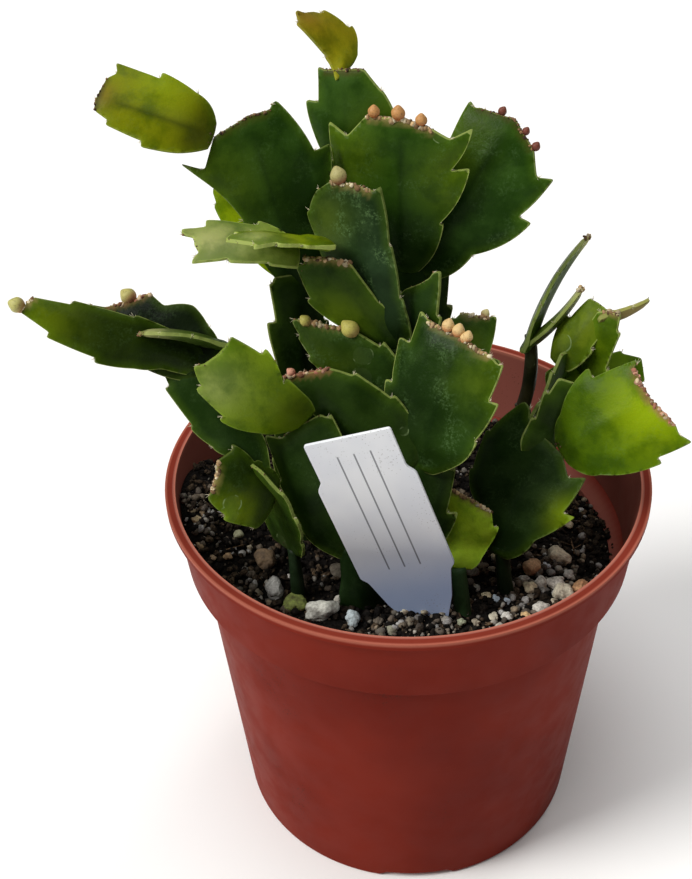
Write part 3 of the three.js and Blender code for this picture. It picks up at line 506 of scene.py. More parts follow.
def add_lump(bm, lump, draw):
    """One stone or crumb, squashed, turned and dented at random."""
    centre, size, rgb, detail = lump
    lengths = [size * draw.uniform(0.6, 1.2) for axis in range(3)]
    axis = Vector([draw.gauss(0, 1) for axis in range(3)]).normalized()
    if detail > 2:
        lengths = [size * draw.uniform(*span) for span in ((1, 1.25), (0.8, 1.05), (0.6, 0.8))]
        axis = Vector((0.1, -0.1, 1)).normalized()
    turn = Matrix.Rotation(draw.uniform(0, math.tau), 4, axis)
    place = Matrix.Translation(centre) @ turn @ Matrix.Diagonal((*lengths, 1))
    made = bmesh.ops.create_icosphere(bm, subdivisions=detail, radius=1.0, matrix=place)["verts"]
    seed = Vector((draw.uniform(0, 50), 0, 0))
    tint = bm.verts.layers.float_color["tint"]
    own = colour(*rgb)
    for vert in made:
        away = vert.co - centre
        coarse = noise.noise(vert.co * (1.1 / size) + seed)
        fine = abs(noise.noise(vert.co * (3.1 / size) + seed)) if detail > 2 else 0
        vert.co = centre + away * (1 + 0.42 * coarse - 0.22 * fine)
        vert[tint] = own


def heap(name, lumps, material, draw):
    """A piece of many lumps. They are made in small batches, because a bmesh slows down as it fills."""
    whole = bmesh.new()
    for first in range(0, len(lumps), batch_size):
        batch = tinted_bmesh()[0]
        for lump in lumps[first:first + batch_size]:
            add_lump(batch, lump, draw)
        pour(batch, whole)
    return add_object(name, whole, material)


def pour(batch, whole):
    """Moves a batch into the whole mesh."""
    mesh = bpy.data.meshes.new("batch")
    batch.to_mesh(mesh)
    batch.free()
    whole.from_mesh(mesh)
    bpy.data.meshes.remove(mesh)


def dim(rgb, shade):
    return [min(255, step * shade) for step in rgb]


def clear_of_wall(x, y, size):
    return math.hypot(x, y) < wall_radius(soil_top(x, y)) - 0.5 * size - 0.1


def make_crumbs():
    draw = random.Random(7)
    lumps = []
    while len(lumps) < crumb_count:
        x, y = anywhere(draw, crumb_reach)
        size = 0.3 + 1.0 * draw.random() ** 2.4
        if clear_of_wall(x, y, size):
            z = soil_top(x, y) + soil_relief(x, y) + draw.uniform(-0.1, 0.5) * size
            tone = draw.random() ** (1.5 if x < -30 else 2.6)
            rgb = [mix(dark, light, tone) for dark, light in zip(peat_tone, bark_tone)]
            lumps.append((Vector((x, y, z)), size, rgb, 1))
    return heap("bark_crumbs", lumps, mix_material("bark", 0.9), draw)


def make_chips():
    """Splinters of bark, longer than wide, which lie about flat."""
    draw = random.Random(11)
    bm, tint = tinted_bmesh()
    made_chips = 0
    while made_chips < chip_count:
        spot_x, spot_y, spread = draw.choice(chip_spots)
        x, y = draw.gauss(spot_x, spread), draw.gauss(spot_y, spread)
        length, width, thickness = (draw.uniform(*span) for span in ((1.2, 3.4), (0.5, 1.1), (0.25, 0.5)))
        if not clear_of_wall(x, y, 1.2 * length):
            continue
        made_chips += 1
        heading = Matrix.Rotation(draw.uniform(0, math.tau), 4, "Z")
        turn = heading @ Matrix.Rotation(draw.gauss(0, 0.35), 4, "Y")
        place = Matrix.Translation((x, y, soil_top(x, y) + soil_relief(x, y) + 0.5)) @ turn
        place = place @ Matrix.Diagonal((length, width, thickness, 1))
        made = bmesh.ops.create_cube(bm, size=1, matrix=place)["verts"]
        tone = draw.random() ** 1.3
        rgb = [mix(dark, light, tone) for dark, light in zip(*chip_tones)]
        for vert in made:
            vert.co += Vector([draw.uniform(-0.22, 0.22) for axis in range(3)])
            vert[tint] = colour(*rgb)
    edges = bm.edges[:]
    bmesh.ops.bevel(bm, geom=edges, affect="EDGES", offset=0.12, segments=1, profile=0.5, material=-1)
    return add_object("bark_chips", bm, mix_material("bark_chip", 0.85))


def stone_material(name):
    """Washed stone: its own colour, speckled and a little dirty in its hollows."""
    material, tree, shader = new_material(name, 0.75, 0.35)
    place = place_of(tree)
    own = own_tint(tree)
    speckle = ramp(tree, mottle(tree, place, 1900.0, 5.0, 0.7), 0.35, 0.7)
    dirt = ramp(tree, mottle(tree, place, 420.0, 4.0, 0.65), 0.42, 0.68)
    light = blend(tree, speckle, blend(tree, 0.45, own, stone_shade), own)
    dirty = blend(tree, times(tree, dirt, 0.6), light, stone_dirt)
    tree.links.new(dirty, shader.inputs["Base Color"])
    set_bump(tree, shader, speckle, 0.08 * mm, 0.7)
    return material


def make_stones():
    lumps = []
    for x, y, size, rgb in stones:
        lumps.append((Vector((x, y, soil_top(x, y) + 0.35 * size)), size, dim(rgb, 1.15), 4))
    return heap("bedded_stones", lumps, stone_material("washed_stone"), random.Random(19))


def make_grit():
    draw = random.Random(23)
    kinds = [
        (196, 190, 178), (150, 142, 128), (122, 110, 96), (176, 158, 132), (206, 204, 200), (104, 92, 78),
    ]
    lumps = []
    while len(lumps) < grit_count:
        x, y = anywhere(draw, grit_reach)
        if len(lumps) % 5 < 3:
            spot_x, spot_y, spread = draw.choice(grit_spots)
            x, y = draw.gauss(spot_x, spread), draw.gauss(spot_y, spread)
        size = 0.28 + 0.72 * draw.random() ** 1.8
        crowded = 0.35 + 0.65 * (noise.noise(Vector((x * 0.09, y * 0.09, 1.7))) > -0.05)
        if draw.random() < crowded and clear_of_wall(x, y, size):
            z = soil_top(x, y) + soil_relief(x, y) + draw.uniform(0.2, 0.8) * size
            rgb = dim(draw.choice(kinds), draw.uniform(0.6, 1.05))
            lumps.append((Vector((x, y, z)), size, rgb, 2))
    return heap("grit", lumps, stone_material("grit_stone"), draw)


def make_fibres():
    bm, tint = tinted_bmesh()
    draw = random.Random(31)
    spots = [(42, 1.5, 8, -21), (37, -8, 7, 35), (41, -4, 5, 70), (30, -8, 6, 160), (-39, -12, 5, 20)]
    for i in range(fibre_count):
        if i < len(spots):
            x, y, length, degrees = spots[i]
        else:
            radius, angle = fibre_reach * math.sqrt(draw.random()), draw.uniform(0, math.tau)
            x, y = radius * math.cos(angle), radius * math.sin(angle)
            length, degrees = draw.uniform(2, 6), draw.uniform(0, 360)
        thickness = draw.uniform(0.12, 0.3)
        heading = Matrix.Rotation(math.radians(degrees), 4, "Z")
        turn = heading @ Matrix.Rotation(math.radians(90), 4, "Y")
        place = Matrix.Translation((x, y, soil_top(x, y) + soil_relief(x, y) + 0.8)) @ turn
        made = bmesh.ops.create_cone(
            bm, cap_ends=True, segments=6, radius1=thickness, radius2=0.5 * thickness, depth=length,
            matrix=place,
        )["verts"]
        own = colour(*dim(fibre_tone, draw.uniform(0.5, 1)))
        for vert in made:
            vert[tint] = own
    return add_object("fibres", bm, mix_material("fibre", 0.9))


for piece in (make_crumbs(), make_chips(), make_stones(), make_grit(), make_fibres()):
    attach(piece, "root")

# Stem segments
# The plant has no leaves: it is chains of flat, fleshy stem segments, each one grown from the cut top
# edge of the one below. A segment is thick along its rib and thin and toothed at its margins, arched
# along the rib and cupped across it. The lowest ones are old and woody, and stand in the mix.
neck_width = 4.4
neck_half_thickness = 1.1
margin_half_thickness = 0.28
wing_half_thickness = 0.72
rib_half_thickness = 1.25
rim_width = 0.32
skin_step = 0.85
margin_step = 0.55
bow_share = 0.05
cup_depth = 0.9
cup_reach = 10
neck_reach = 6
foot_depth = 9
cut_slack = 0.16
tooth_swell = 0.85
first_bend = 0.33
next_bend = 0.45
wave_height = 0.8
wave_scale = 0.13
wave_reach = 8
usual_fold = 0.22
usual_grain = 0.16
old_rim = 0.4
young_rim = 0.16
rib_spread = 1.7
stub_half_depth = 1.6
stub_root = 2
stub_step = 1.1
stub_sides = 16


def segment(name, base, length, aim, skin, left=(), right=None, apex=(), top=0, **looks):
    """One segment's sizes and looks.

    base: the spot where a rooted segment leaves the mix, or else the segment that it grows from, with
    how far along its rib, to its left and off its face. aim: the direction it leans in, its angle above
    level and the twist about its rib. skin: its colour in sRGB steps. left and right: the teeth, as
    distance along, distance out, the step back in behind each, and how far the margin swells on its way;
    with no right ones, both sides are the same. apex: the two ends of its top edge, or top: the half
    width of a level one. stub: the half width of a woody one. root: how far it reaches into the one
    below. corks: corky lumps on its top edge. buds: along, to the left, radius. patches: along, to the
    left, radius, how strong and which tone. fold, rim and grain: how far the rib line, the pale margin
    line, which is partly painted highlight, and the pale grain show. crust: the kind of its top edge.
    """
    if top:
        apex = [(length, top), (length, top)]
    sides = dict(left=left, right=right or left, apex=apex)
    return dict(name=name, base=base, length=length, aim=aim, skin=skin, **sides, **looks)


segments = []


def grow(node, *ones):
    """Adds the segments of one node of the frame, each after the one that it grows from."""
    segments.extend(dict(one, node=node) for one in ones)


grow("stem_left",
    segment("l0", (-25, -23), 12, (98, 74, -4), (30, 44, 26), stub=1.5),
    segment("l1", ("l0", 12.8, 0.1, 1.9), 25, (199, 75, 20), (44, 66, 18),
        [(4, 5, 0.8), (13, 7, 1.2), (21, 6.4, 1.2)],
        [(-1, 7, 0.8), (4.5, 8, 1), (11, 8.6, 0.8), (21, 7, 0.8)], apex=[(25, 3), (25, 2.4)],
        buds=[(13, -8.2, 0.8), (15, -8, 0.9), (17, -7.6, 0.9), (19, -7.2, 0.8)],
        patches=[(18, -5, 6, 0.25, "fresh_and_lit")]),
    segment("l2", ("l1", 21.4, -1.7, 1.4), 26.5, (146, 49, -44), (38, 60, 17),
        [(6, 2.8, 0), (10, 5, 0.3), (16, 6.2, 0.7), (25.4, 5.7, 1)],
        [(9, 5, 0.8), (17, 5.8, 1), (23, 4.4, 0.6)], apex=[(28.4, 4), (24, 3.4)]),
    segment("l3", ("l2", 25.5, -3), 35.5, (179, 24, -55), (33, 48, 2),
        [(7, 3.6, 0), (12, 5.2, 0), (19.8, 6.5, 1), (30, 4.6, 1)], [(15, 5, 0.6), (27.4, 3.8, 0.8)],
        apex=[(36.4, 1.4), (34.6, 2)], corks=3, buds=[(37.6, 0.4, 1.5)],
        patches=[(33, 2, 7, 0.3, "fresh_and_lit")], fold=0.08, rim=0.3, grain=0.15),
    segment("l4", ("l2", 24.5, -3.5), 20, (151, 31, -40), (15, 27, 6),
        [(14, 9, 1), (23.2, 10.4, 3.4), (25.4, 5.6, 0.6)], [(4, 6.6, 0.2), (9, 7.8, 0), (13.6, 4, 0)],
        apex=[(22.6, 3.6), (17.4, 4.2)], corks=4, buds=[(20.6, -1, 1.6)], rim=0.3, grain=0.2,
        crust="rosy"),
    segment("l5", ("l4", 1, -4.5), 16, (200, 24, 32), (70, 88, 32), [(6, 3.2, 0.6), (13, 3, 0.8)],
        apex=[(15.8, 1.4), (15.8, 1.4)], corks=2, patches=[(15, 0, 4, 0.7, "cream")], crust="brown"),
    segment("l6", ("l1", 18.8, 0.3, -0.2), 11, (189, 27, -60), (36, 52, 5),
        [(0, 8.6, 0.3), (7, 8, 1.2), (11.4, 4.4, 0.8)], [(4, 5.6, 0.8), (9.6, 7.4, 1.2)],
        apex=[(11, 3), (11.4, 3.4)], corks=4, patches=[(6, 6, 4, 0.45, "fresh_and_lit")], fold=0.15, rim=0.12))
grow("stem_front_left",
    segment("m0", (-10.6, -24.9), 16.5, (130, 88, -33), (28, 46, 20), stub=5),
    segment("m1", ("m0", 16, 1, 0.8), 30, (135, 62, -50), (35, 55, 16),
        [(9, 9.4, 0.6), (20, 9.6, 0.8), (30, 8.8, 3.4)], [(9, 7.6, 0.8), (20, 8, 1.2), (30, 6, 1)],
        apex=[(29, 4.6), (30.6, 4)]))
grow("young_front_left",
    segment("m2", ("m1", 31.6, -0.5, 1.9), 23, (186, 48, -80), (112, 136, 16),
        [(5, 7.6, 0), (13.4, 10.2, 1.2), (21.2, 8.2, 1.5), (25, 4.6, 1)],
        [(9, 5, 1.4), (16.6, 7, 1.4), (23.6, 4.5, 0.8)], apex=[(23.8, 3.4), (23, 3.2)], root=1,
        patches=[(20, 5, 6, 0.5, "pale"), (4, 0, 5, 0.4, "old")], fold=0.1))
grow("stem_centre",
    segment("d0", (-2, -22), 35, (39, 80, 42), (33, 52, 14), [(12, 8, 1), (24, 10, 1.6), (34, 7, 1.4)],
        [(14, 7, 1.4), (24, 8.6, 2.4), (34, 6.6, 1.2)], top=4),
    segment("d1", ("d0", 35, -0.1, 1.7), 27.5, (47, 66, 10), (39, 65, 15),
        [(13.8, 13.4, 1.8), (22.8, 13.3, 2.8), (29.5, 10.4, 2)],
        [(8.8, 9.6, 0.6), (17.7, 11.4, 2), (25.4, 9.9, 1)], apex=[(28.2, 8), (26, 7.4)], corks=8,
        buds=[(29.6, 3.4, 1.3), (29, 1, 1.3), (29.6, -1.2, 1.1), (27.8, -0.8, 1.1)],
        # Painted shadow: the strong dark patch low on the left stands for shade falling there, and the
        # fresh patch on the right is partly painted light.
        patches=[(22, -8, 7, 0.16, "fresh_and_lit"), (8, 6, 9, 0.6, "old"), (24, 9, 6, 0.25, "old")], fold=0.3,
        rim=0.6, grain=0.6),
    segment("d2", ("d0", 33.5, 4.1, -0.9), 28, (162, 41, -75), (40, 61, 16),
        [(8, 6, 0.6), (19, 5.8, 0.8), (28.8, 5, 0.6)],
        [(6.6, 8.8, 0.2), (11.7, 9.6, 0.9), (20.8, 7.9, 0.7)], apex=[(30.6, 3.6), (25, 4.6)], corks=7,
        buds=[(30, 1.6, 0.9)], crust="rosy"))
grow("stem_middle",
    segment("h0", (-3, -6), 24, (328, 86, -65), (40, 46, 22), stub=3),
    segment("h1", ("h0", 22.7, 0, 0.4), 20, (0, 86, 84), (33, 52, 14), [(8, 5.6, 1), (16, 7, 1.4)],
        [(9, 6, 1), (17, 7, 1.4)], top=4),
    segment("h2", ("h1", 19, 2.5), 22, (158, 43, -80), (40, 64, 20),
        [(10, 7.4, 0.6), (18.4, 7.8, 1), (23, 6.2, 0.8), (26.5, 4.2, 0.6)],
        [(5.6, 7.2, 0.2), (10.8, 7.5, 1.2)], apex=[(25.6, 3), (16.6, 4.8)], corks=6,
        buds=[(24.6, 2, 1.2), (17.4, -4.4, 1.9)],
        patches=[(16, 4, 6, 0.2, "fresh_and_lit"), (20, -1, 5, 0.2, "blue")], grain=0.5),
    segment("h3", ("h1", 19, -4.5), 20, (38, 50, 36), (40, 64, 18), [(9, 4.8, 0.8), (17.6, 4.2, 0.8)],
        [(14.4, 9.4, 3), (22, 4, 1)], apex=[(19.2, 2.8), (21, 2.6)], corks=2, buds=[(21.4, -1.6, 0.9)],
        patches=[(10, 0, 7, 0.2, "fresh_and_lit")]),
    segment("h4", ("h1", 19.6, 0, 0.8), 12, (101, 62, -11), (35, 53, 14), [(5, 5, 0.6), (10, 5.4, 1)],
        top=3.4),
    segment("h5", ("h4", 11.5, 1), 24, (172, 56, -90), (43, 68, 17),
        [(9, 7, 0.6), (18.5, 9.2, 1), (26, 6.6, 1.6)], [(4, 3.4, 0.3), (10.5, 3.8, 0.5)],
        apex=[(26.4, 4), (21, 3.4)], corks=7, patches=[(12, 6, 7, 0.25, "fresh_and_lit")]),
    segment("h6", ("h4", 11.8, 0.4, 1.2), 34.5, (135, 68, -72), (32, 52, 24),
        [(14, 8.4, 0.6), (24, 11.2, 0.4), (30.6, 11.5, 0.8), (34.4, 7.8, 0.2)],
        [(10, 4.8, 0.6), (21, 6.1, 0.5), (32.8, 6.8, 1.7)], apex=[(35.5, 4.2), (32.4, 4.6)], corks=6,
        buds=[(36.8, 1.8, 1.7)], patches=[(28, 8, 7, 0.18, "fresh_and_lit"), (20, 2, 9, 0.25, "blue")], fold=0.15,
        rim=0.2, grain=1.0),
    segment("h7", ("h4", 10.9, -3, -0.5), 14, (45, 84, 0), (31, 53, 14), [(5, 5.4, 0.8), (11.2, 6.2, 2)],
        [(9, 6.4, 1), (18.4, 4.6, 1.6)], apex=[(11.6, 3.4), (16.4, 2.6)]))
grow("stem_back",
    segment("k0", (-2, 12), 18, (0, 85, 83), (40, 46, 22), stub=3),
    segment("k1", ("k0", 17.3, 0, 0.4), 21, (0, 89, 86), (33, 52, 14), [(9, 6, 1), (17, 7.4, 1.4)],
        [(8, 6.4, 1), (18, 7, 1.4)], top=4),
    segment("k2", ("k1", 19, -1.5), 28, (5, 84, 82), (31, 52, 15),
        [(9, 6, 0.8), (18, 7.6, 1.2), (28, 6, 1.4)], [(8, 6.4, 0.8), (18, 7.6, 1.4), (28.6, 5.6, 1.8)],
        apex=[(27.4, 4), (27, 3.4)]),
    segment("k3", ("k2", 27, 4), 31.5, (87, 87, -14), (42, 72, 15),
        [(10, 11, 1), (21.5, 17.2, 2.6), (29, 15.8, 4.2)],
        [(10, 8.6, 1), (22, 13.5, 3.8), (30.1, 13.7, 4.2)], apex=[(31.4, 7.6), (29.8, 6)], corks=9,
        buds=[(32.8, 6, 1.2), (32.6, 1, 1.4), (32.4, -3.6, 1.2)],
        patches=[(24, 13, 7, 0.25, "fresh_and_lit"), (20, -11, 7, 0.22, "fresh_and_lit"), (4, 0, 8, 0.4, "old")],
        fold=0.5, rim=0.55, grain=0.35),
    segment("k4", ("k2", 27, -1), 35, (13, 59, 45), (41, 70, 15),
        [(12, 8, 1), (22, 10.5, 1.6), (33, 10.2, 1.6)], [(7.4, 7.4, 0.2), (19.8, 14, 2.8), (29.5, 13, 3)],
        apex=[(32.8, 7.8), (32, 6.6)], corks=6,
        buds=[(35.4, 3.2, 0.9), (34.8, -3.1, 0.8), (33.2, -6.4, 0.9)],
        patches=[(26, 9, 7, 0.25, "fresh_and_lit"), (8, -4, 12, 0.45, "old")], fold=0.5, rim=0.3, grain=0.3,
        crust="brown"),
    segment("k5", ("k1", 19.3, 2.5, 0.4), 38, (129, 75, -36), (36, 57, 14),
        [(12, 6, 0.8), (24, 7.4, 1.2), (36, 6, 1)], [(14, 6.4, 0.8), (26, 7.6, 1.2), (36, 6, 1)],
        top=3.4),
    segment("k6", ("k5", 37, 0), 29.5, (114, 80, -48), (47, 76, 18),
        [(12, 6.8, 1), (23.4, 9.2, 3), (30, 6, 1)], [(12, 9.4, 1), (20, 11, 0.8), (25.4, 7.6, 0.2)],
        apex=[(29.4, 4.6), (29.6, 4)], corks=4, patches=[(14, -8, 7, 0.25, "fresh_and_lit")], crust="brown"))
grow("young_top",
    segment("k7", ("k6", 27.4, 0.2, -4.3), 15.5, (164, 50, -30), (140, 124, 14),
        [(6.5, 3, 0.4), (15.2, 2.8, 0.7)], [(2, 5.2, 0.2), (7.2, 6.9, 1.2), (13.4, 3.8, 0.9)],
        apex=[(17, 0.9), (14.4, 1.8)], root=-1.6,
        patches=[(4, 0, 6, 0.3, "fresh_and_lit"), (16, 0, 3.4, 0.6, "rust"), (7, 6, 4, 0.5, "rust")], fold=0.12,
        rim=0.1))
grow("stem_back_left",
    segment("w0", (-22, -4), 37, (102, 84, -3), (33, 52, 14), [(13, 6, 1), (24, 7.4, 1.4), (35, 6.4, 1)],
        [(12, 6.4, 1), (25, 7.4, 1.4), (35, 6, 1)], top=4),
    segment("w1", ("w0", 34.9, -0.2, -1.7), 29, (93, 76, 24), (35, 55, 13),
        [(10, 6, 0.8), (20, 6.8, 1.9), (28, 5.2, 0.6)], [(9, 6.4, 1), (18, 7.4, 1.2), (26, 6.2, 1)],
        top=4),
    segment("w2", ("w1", 26.8, -2.2, -0.4), 36, (140, 71, -46), (38, 65, 13),
        [(16.5, 7.6, 0.3), (30.6, 16, 4.4, 0.2)], [(13, 9, 1), (26, 14, 3.4), (37.2, 6.2, 1.1)],
        apex=[(34, 7.8), (35.8, 4.6)], corks=4,
        patches=[(24, 12, 9, 0.16, "fresh_and_lit"), (12, -3, 8, 0.35, "old")], fold=0.4, rim=0.2, grain=0.2,
        crust="brown"))
grow("young_left_tip",
    segment("w3", ("w2", 34.3, 8.3, 1.8), 23.5, (171, 19, -45), (116, 122, 1),
        [(12.4, 6.4, 1.2), (20.2, 4.4, 0.9)], [(5, 7.6, 0.1), (13, 9.2, 1.5), (22.2, 8.2, 2)],
        apex=[(23.1, 2.3), (22.8, 4.6)], root=0, corks=1,
        patches=[(3, 0, 5, 0.5, "old"), (12, -7, 6, 0.4, "fresh_and_lit"), (23.5, -1, 3, 0.6, "rust")], fold=0.5,
        crust="brown"))
grow("young_back_left",
    segment("w4", ("w1", 28.4, -2.5, -3.4), 24, (154, 45, -52), (134, 158, 2),
        [(8, 5, 0.4), (17, 5.6, 0.8), (21.6, 3.6, 0.6)], [(7, 5.6, 0.8), (15, 5.4, 1)],
        apex=[(24, 1.8), (22, 2.6)], root=2, patches=[(18, 2, 9, 0.4, "fresh_and_lit")], fold=0.1))
grow("young_pale_front",
    segment("h8", ("h5", 27.1, -1.1, 1.3), 20.5, (202, 18, 14), (112, 126, 6),
        [(6, 4.4, 0.8), (12, 5.4, 1), (17.4, 6.4, 1.8)],
        [(2, 7, 0.6), (8, 7.4, 1.2), (12.4, 8.8, 2.6), (17, 5, 1.4)], apex=[(18.6, 2.4), (18.8, 2.2)],
        root=1.5, patches=[(2, -3, 6, 0.5, "fresh_and_lit"), (16, 2, 5, 0.65, "pale")], fold=0.1, rim=0.75))
grow("young_pale_back",
    segment("h9", ("h5", 26.1, 4.4, -0.8), 22, (180, 11, -18), (120, 136, 64),
        [(7, 3.6, 0.6), (15, 4.2, 0.8), (22.2, 5, 1.8)], [(10, 7.6, 1.4), (20.3, 6.5, 2), (25, 3.2, 1.2)],
        apex=[(20.8, 2.4), (22.2, 1.8)], root=-1.4,
        patches=[(4, -3, 5, 0.4, "fresh_and_lit"), (20, 2, 7, 0.4, "cream")], fold=0.05, rim=0.5))
grow("stem_front",
    segment("f0", (10.6, -28), 11, (105, 71, -17), (40, 60, 34), stub=1.8))
grow("young_front",
    segment("f1", ("f0", 10.4, 0.3, -3.3), 15.5, (60, 70, 25), (172, 206, 50),
        [(7, 6.6, 0.3), (14, 7.2, 0.8)], [(3, 4.8, 0), (10.4, 7.4, 1.2)], apex=[(17.2, 4.9), (13.4, 5.2)],
        corks=3, patches=[(12, 3, 6, 0.45, "fresh_and_lit"), (1, 0, 4, 0.4, "old")], fold=0.0))
grow("stem_right",
    segment("r0", (20.6, -21), 13, (141, 82, -54), (32, 48, 26), stub=1.8),
    segment("r1", ("r0", 13, 0), 25, (43, 58, 10), (31, 50, 16),
        [(6, 9.4, 0.2), (12, 13.4, 0.8), (21, 13.6, 1), (30.2, 8, 1.9)],
        [(4.4, 6.6, 0), (12.8, 12.4, 2.6, 0.6), (21.4, 11.1, 3.4)], apex=[(27.4, 5.6), (23.6, 4.4)],
        patches=[(12, -11, 4, 0.5, "fresh_and_lit"), (10, 6, 9, 0.35, "old")], fold=0.25, rim=0.12))
grow("young_right",
    segment("r2", ("r1", 24.2, -4.5, 1), 22, (353, 42, 50), (70, 97, 2),
        [(4, 6.8, 0), (14.2, 11.9, 2.4), (23.6, 8, 0.8)],
        [(5, 8.2, 0), (17, 12.5, 1.5), (24.4, 11.8, 2.7)], apex=[(22.2, 7), (23.6, 7.2)], root=0, corks=4,
        patches=[(22, -2, 9, 0.75, "fresh_and_lit")], fold=0.05, crust="rosy"))
grow("stem_right",
    segment("r3", ("r1", 22.7, 1.5, -3), 16, (23, 69, 62), (46, 66, 18), [(6, 4.6, 1), (12.6, 4.2, 1)],
        [(7, 4.6, 1), (13.4, 4.2, 1)], top=2.4))
grow("stem_back_right",
    segment("q0", (33, 2), 15, (180, 80, 88), (50, 50, 26), stub=2.8),
    segment("q1", ("q0", 14, 0), 17, (149, 82, -69), (45, 62, 18), [(7, 4.4, 0.8), (14, 4.6, 1)],
        top=2.6),
    segment("q2", ("q1", 16, 0), 17.5, (17, 69, 125), (51, 73, 18), [(6, 4.6, 0.8), (14, 5, 1.2)],
        top=2.4),
    segment("q3", ("q2", 16, -1), 13.5, (18, 54, 29), (100, 118, 20), [(7.3, 5.8, 1.6), (13.4, 3.4, 0.7)],
        [(5, 4.4, 0.8), (12, 3.8, 0.6)], apex=[(13.4, 2.2), (13.4, 2.6)]),
    segment("q4", ("q3", 12.4, -2.4), 9.5, (16, 14, 126), (146, 126, 72), [(5, 2.8, 0.6)],
        apex=[(9.4, 1.2), (9.4, 1.2)]),
    segment("q5", ("q2", 8.8, -3.4, -0.2), 19, (0, 7, 49), (84, 116, 12),
        [(6, 4.6, 0.6), (10, 4.4, 0.6), (15, 4.8, 0.6)], [(7, 5, 0.8), (14, 4.8, 0.8)], top=2.6,
        patches=[(9, 0, 8, 0.3, "fresh_and_lit")], fold=0.15),
    segment("q6", ("q5", 6, 0), 19, (330, 76, 80), (60, 90, 16),
        [(5, 3.6, 0.4), (12, 3.8, 0.5), (17.8, 2.6, 0.5)], [(6, 4.8, 0.8), (16, 3.8, 0.8)],
        apex=[(18.4, 1.4), (19.6, 2)], corks=1, patches=[(10, 0, 7, 0.35, "fresh_and_lit")], rim=0.6),
    segment("p1", ("q0", 13, -2.5), 19.5, (114, 75, 126), (66, 60, 36), stub=1.9),
    segment("p2", ("p1", 17.8, -0.3, 0.4), 17.5, (71, 76, 114), (62, 58, 34), stub=1.7),
    segment("p3", ("p2", 16, 0), 26.5, (28, 58, 125), (80, 106, 26), [(9, 4, 0.6), (17, 3.6, 0.8)],
        apex=[(26, 1.4), (26, 1.4)], bow=-1.6, corks=1, patches=[(25, 0, 4, 0.6, "cream")]),
    segment("p4", ("p2", 16, 0), 17, (2, 52, 150), (88, 102, 38), [(8, 3, 0.6)],
        apex=[(16.6, 1.6), (16.6, 1.6)], corks=1, patches=[(16, 0, 4, 0.9, "cream")]))


def directions(aim):
    """The rib, the left side and the face of what is aimed so."""
    toward, rise, turn = map(math.radians, aim)
    level = Vector((math.cos(toward), math.sin(toward), 0))
    rib = level * math.cos(rise) + Vector((0, 0, math.sin(rise)))
    side = Matrix.Rotation(turn, 3, rib) @ Vector((-level.y, level.x, 0))
    return rib, side, rib.cross(side)


def is_rooted(row):
    """Whether a segment stands in the mix. Any other one grows from the segment that its base names."""
    return not isinstance(row["base"][0], str)


def place_segments():
    """Every segment's base point and directions, by name. pull is the way back to its parent's face."""
    places = {}
    for row in segments:
        rib, side, face = directions(row["aim"])
        pull = Vector((0, 0, 0))
        if is_rooted(row):
            x, y = row["base"]
            start = Vector((x, y, soil_level(x)))
        else:
            parent_name, along, out, *off = row["base"]
            parent = places[parent_name]
            pull = parent["face"] * -(off[0] if off else 0)
            start = parent["start"] + parent["rib"] * along + parent["side"] * out - pull
        places[row["name"]] = dict(row=row, start=start, rib=rib, side=side, face=face, pull=pull)
    return places


places = place_segments()


def margin(teeth, corner, sunk):
    """One margin, from the neck out over its teeth to the top edge, and the notch behind each tooth."""
    points = [Vector((-sunk, neck_width / 2))]
    notches = []
    begin = points[0]
    for index, (along, out, step, *swell) in enumerate(teeth):
        tip = Vector((along, out))
        share = swell[0] if swell else tooth_swell
        bend_out = mix(begin.y, out, share if out > begin.y else 1 - share)
        bend = Vector((mix(begin.x, along, next_bend if index else first_bend), bend_out))
        count = max(2, round((tip - begin).length / margin_step))
        for k in range(1, count + 1):
            t = k / count
            points.append((1 - t) ** 2 * begin + 2 * t * (1 - t) * bend + t * t * tip)
        begin = tip
        if step > 0:
            last = index == len(teeth) - 1
            begin = Vector((along - (0.5 if last else 0.1) * step, out - step))
            count = max(1, round(step / margin_step))
            points.extend(tip.lerp(begin, k / count) for k in range(1, count + 1))
            notches.append(begin.copy())
    top = Vector(corner)
    count = max(1, round((top - begin).length / margin_step))
    points.extend(begin.lerp(top, k / count) for k in range(1, count + 1))
    return points, notches


def outline_of(row, sunk):
    """The whole outline of a segment, once round, and its notches on both sides."""
    left, left_notches = margin(row["left"], row["apex"][0], sunk)
    right, right_notches = margin(row["right"], row["apex"][1], sunk)
    flip = Vector((1, -1))
    right = [point * flip for point in right]
    notches = left_notches + [point * flip for point in right_notches]
    middle = Vector((row["length"], 0))
    top = []
    for a, b in ((right[-1], middle), (middle, left[-1])):
        count = max(1, round((b - a).length / margin_step))
        top.extend(a.lerp(b, k / count) for k in range(1, count + 1))
    ring = right + top + left[-2::-1]
    smooth = []
    for i, point in enumerate(ring):
        near = (ring[i - 1] + ring[(i + 1) % len(ring)]) / 2
        smooth.append(point.lerp(near, 0.5))
    return smooth, notches


def lift_at(row, x, y):
    """How far the middle of a segment stands off its own plane: arched, cupped and a little wavy."""
    bow = row.get("bow", bow_share * row["length"])
    t = min(max(x / row["length"], 0), 1)
    seed = 10 * row["aim"][0]
    ripple = noise.noise(Vector((x * wave_scale, y * wave_scale, seed)))
    wave = ripple * min(abs(y) / wave_reach, 1) * wave_height
    return bow * 4 * t * (1 - t) - cup_depth * (y / cup_reach) ** 2 + wave * ease(x, 2, 8)


def on_segment(place, x, y, off=0.0):
    """A point of a segment's middle sheet in the pot's frame."""
    row = place["row"]
    held = 1 - ease(x, -1, neck_reach)
    point = place["start"] + place["rib"] * x + place["side"] * y
    point += place["face"] * (lift_at(row, x, y) + off)
    return point + place["pull"] * held


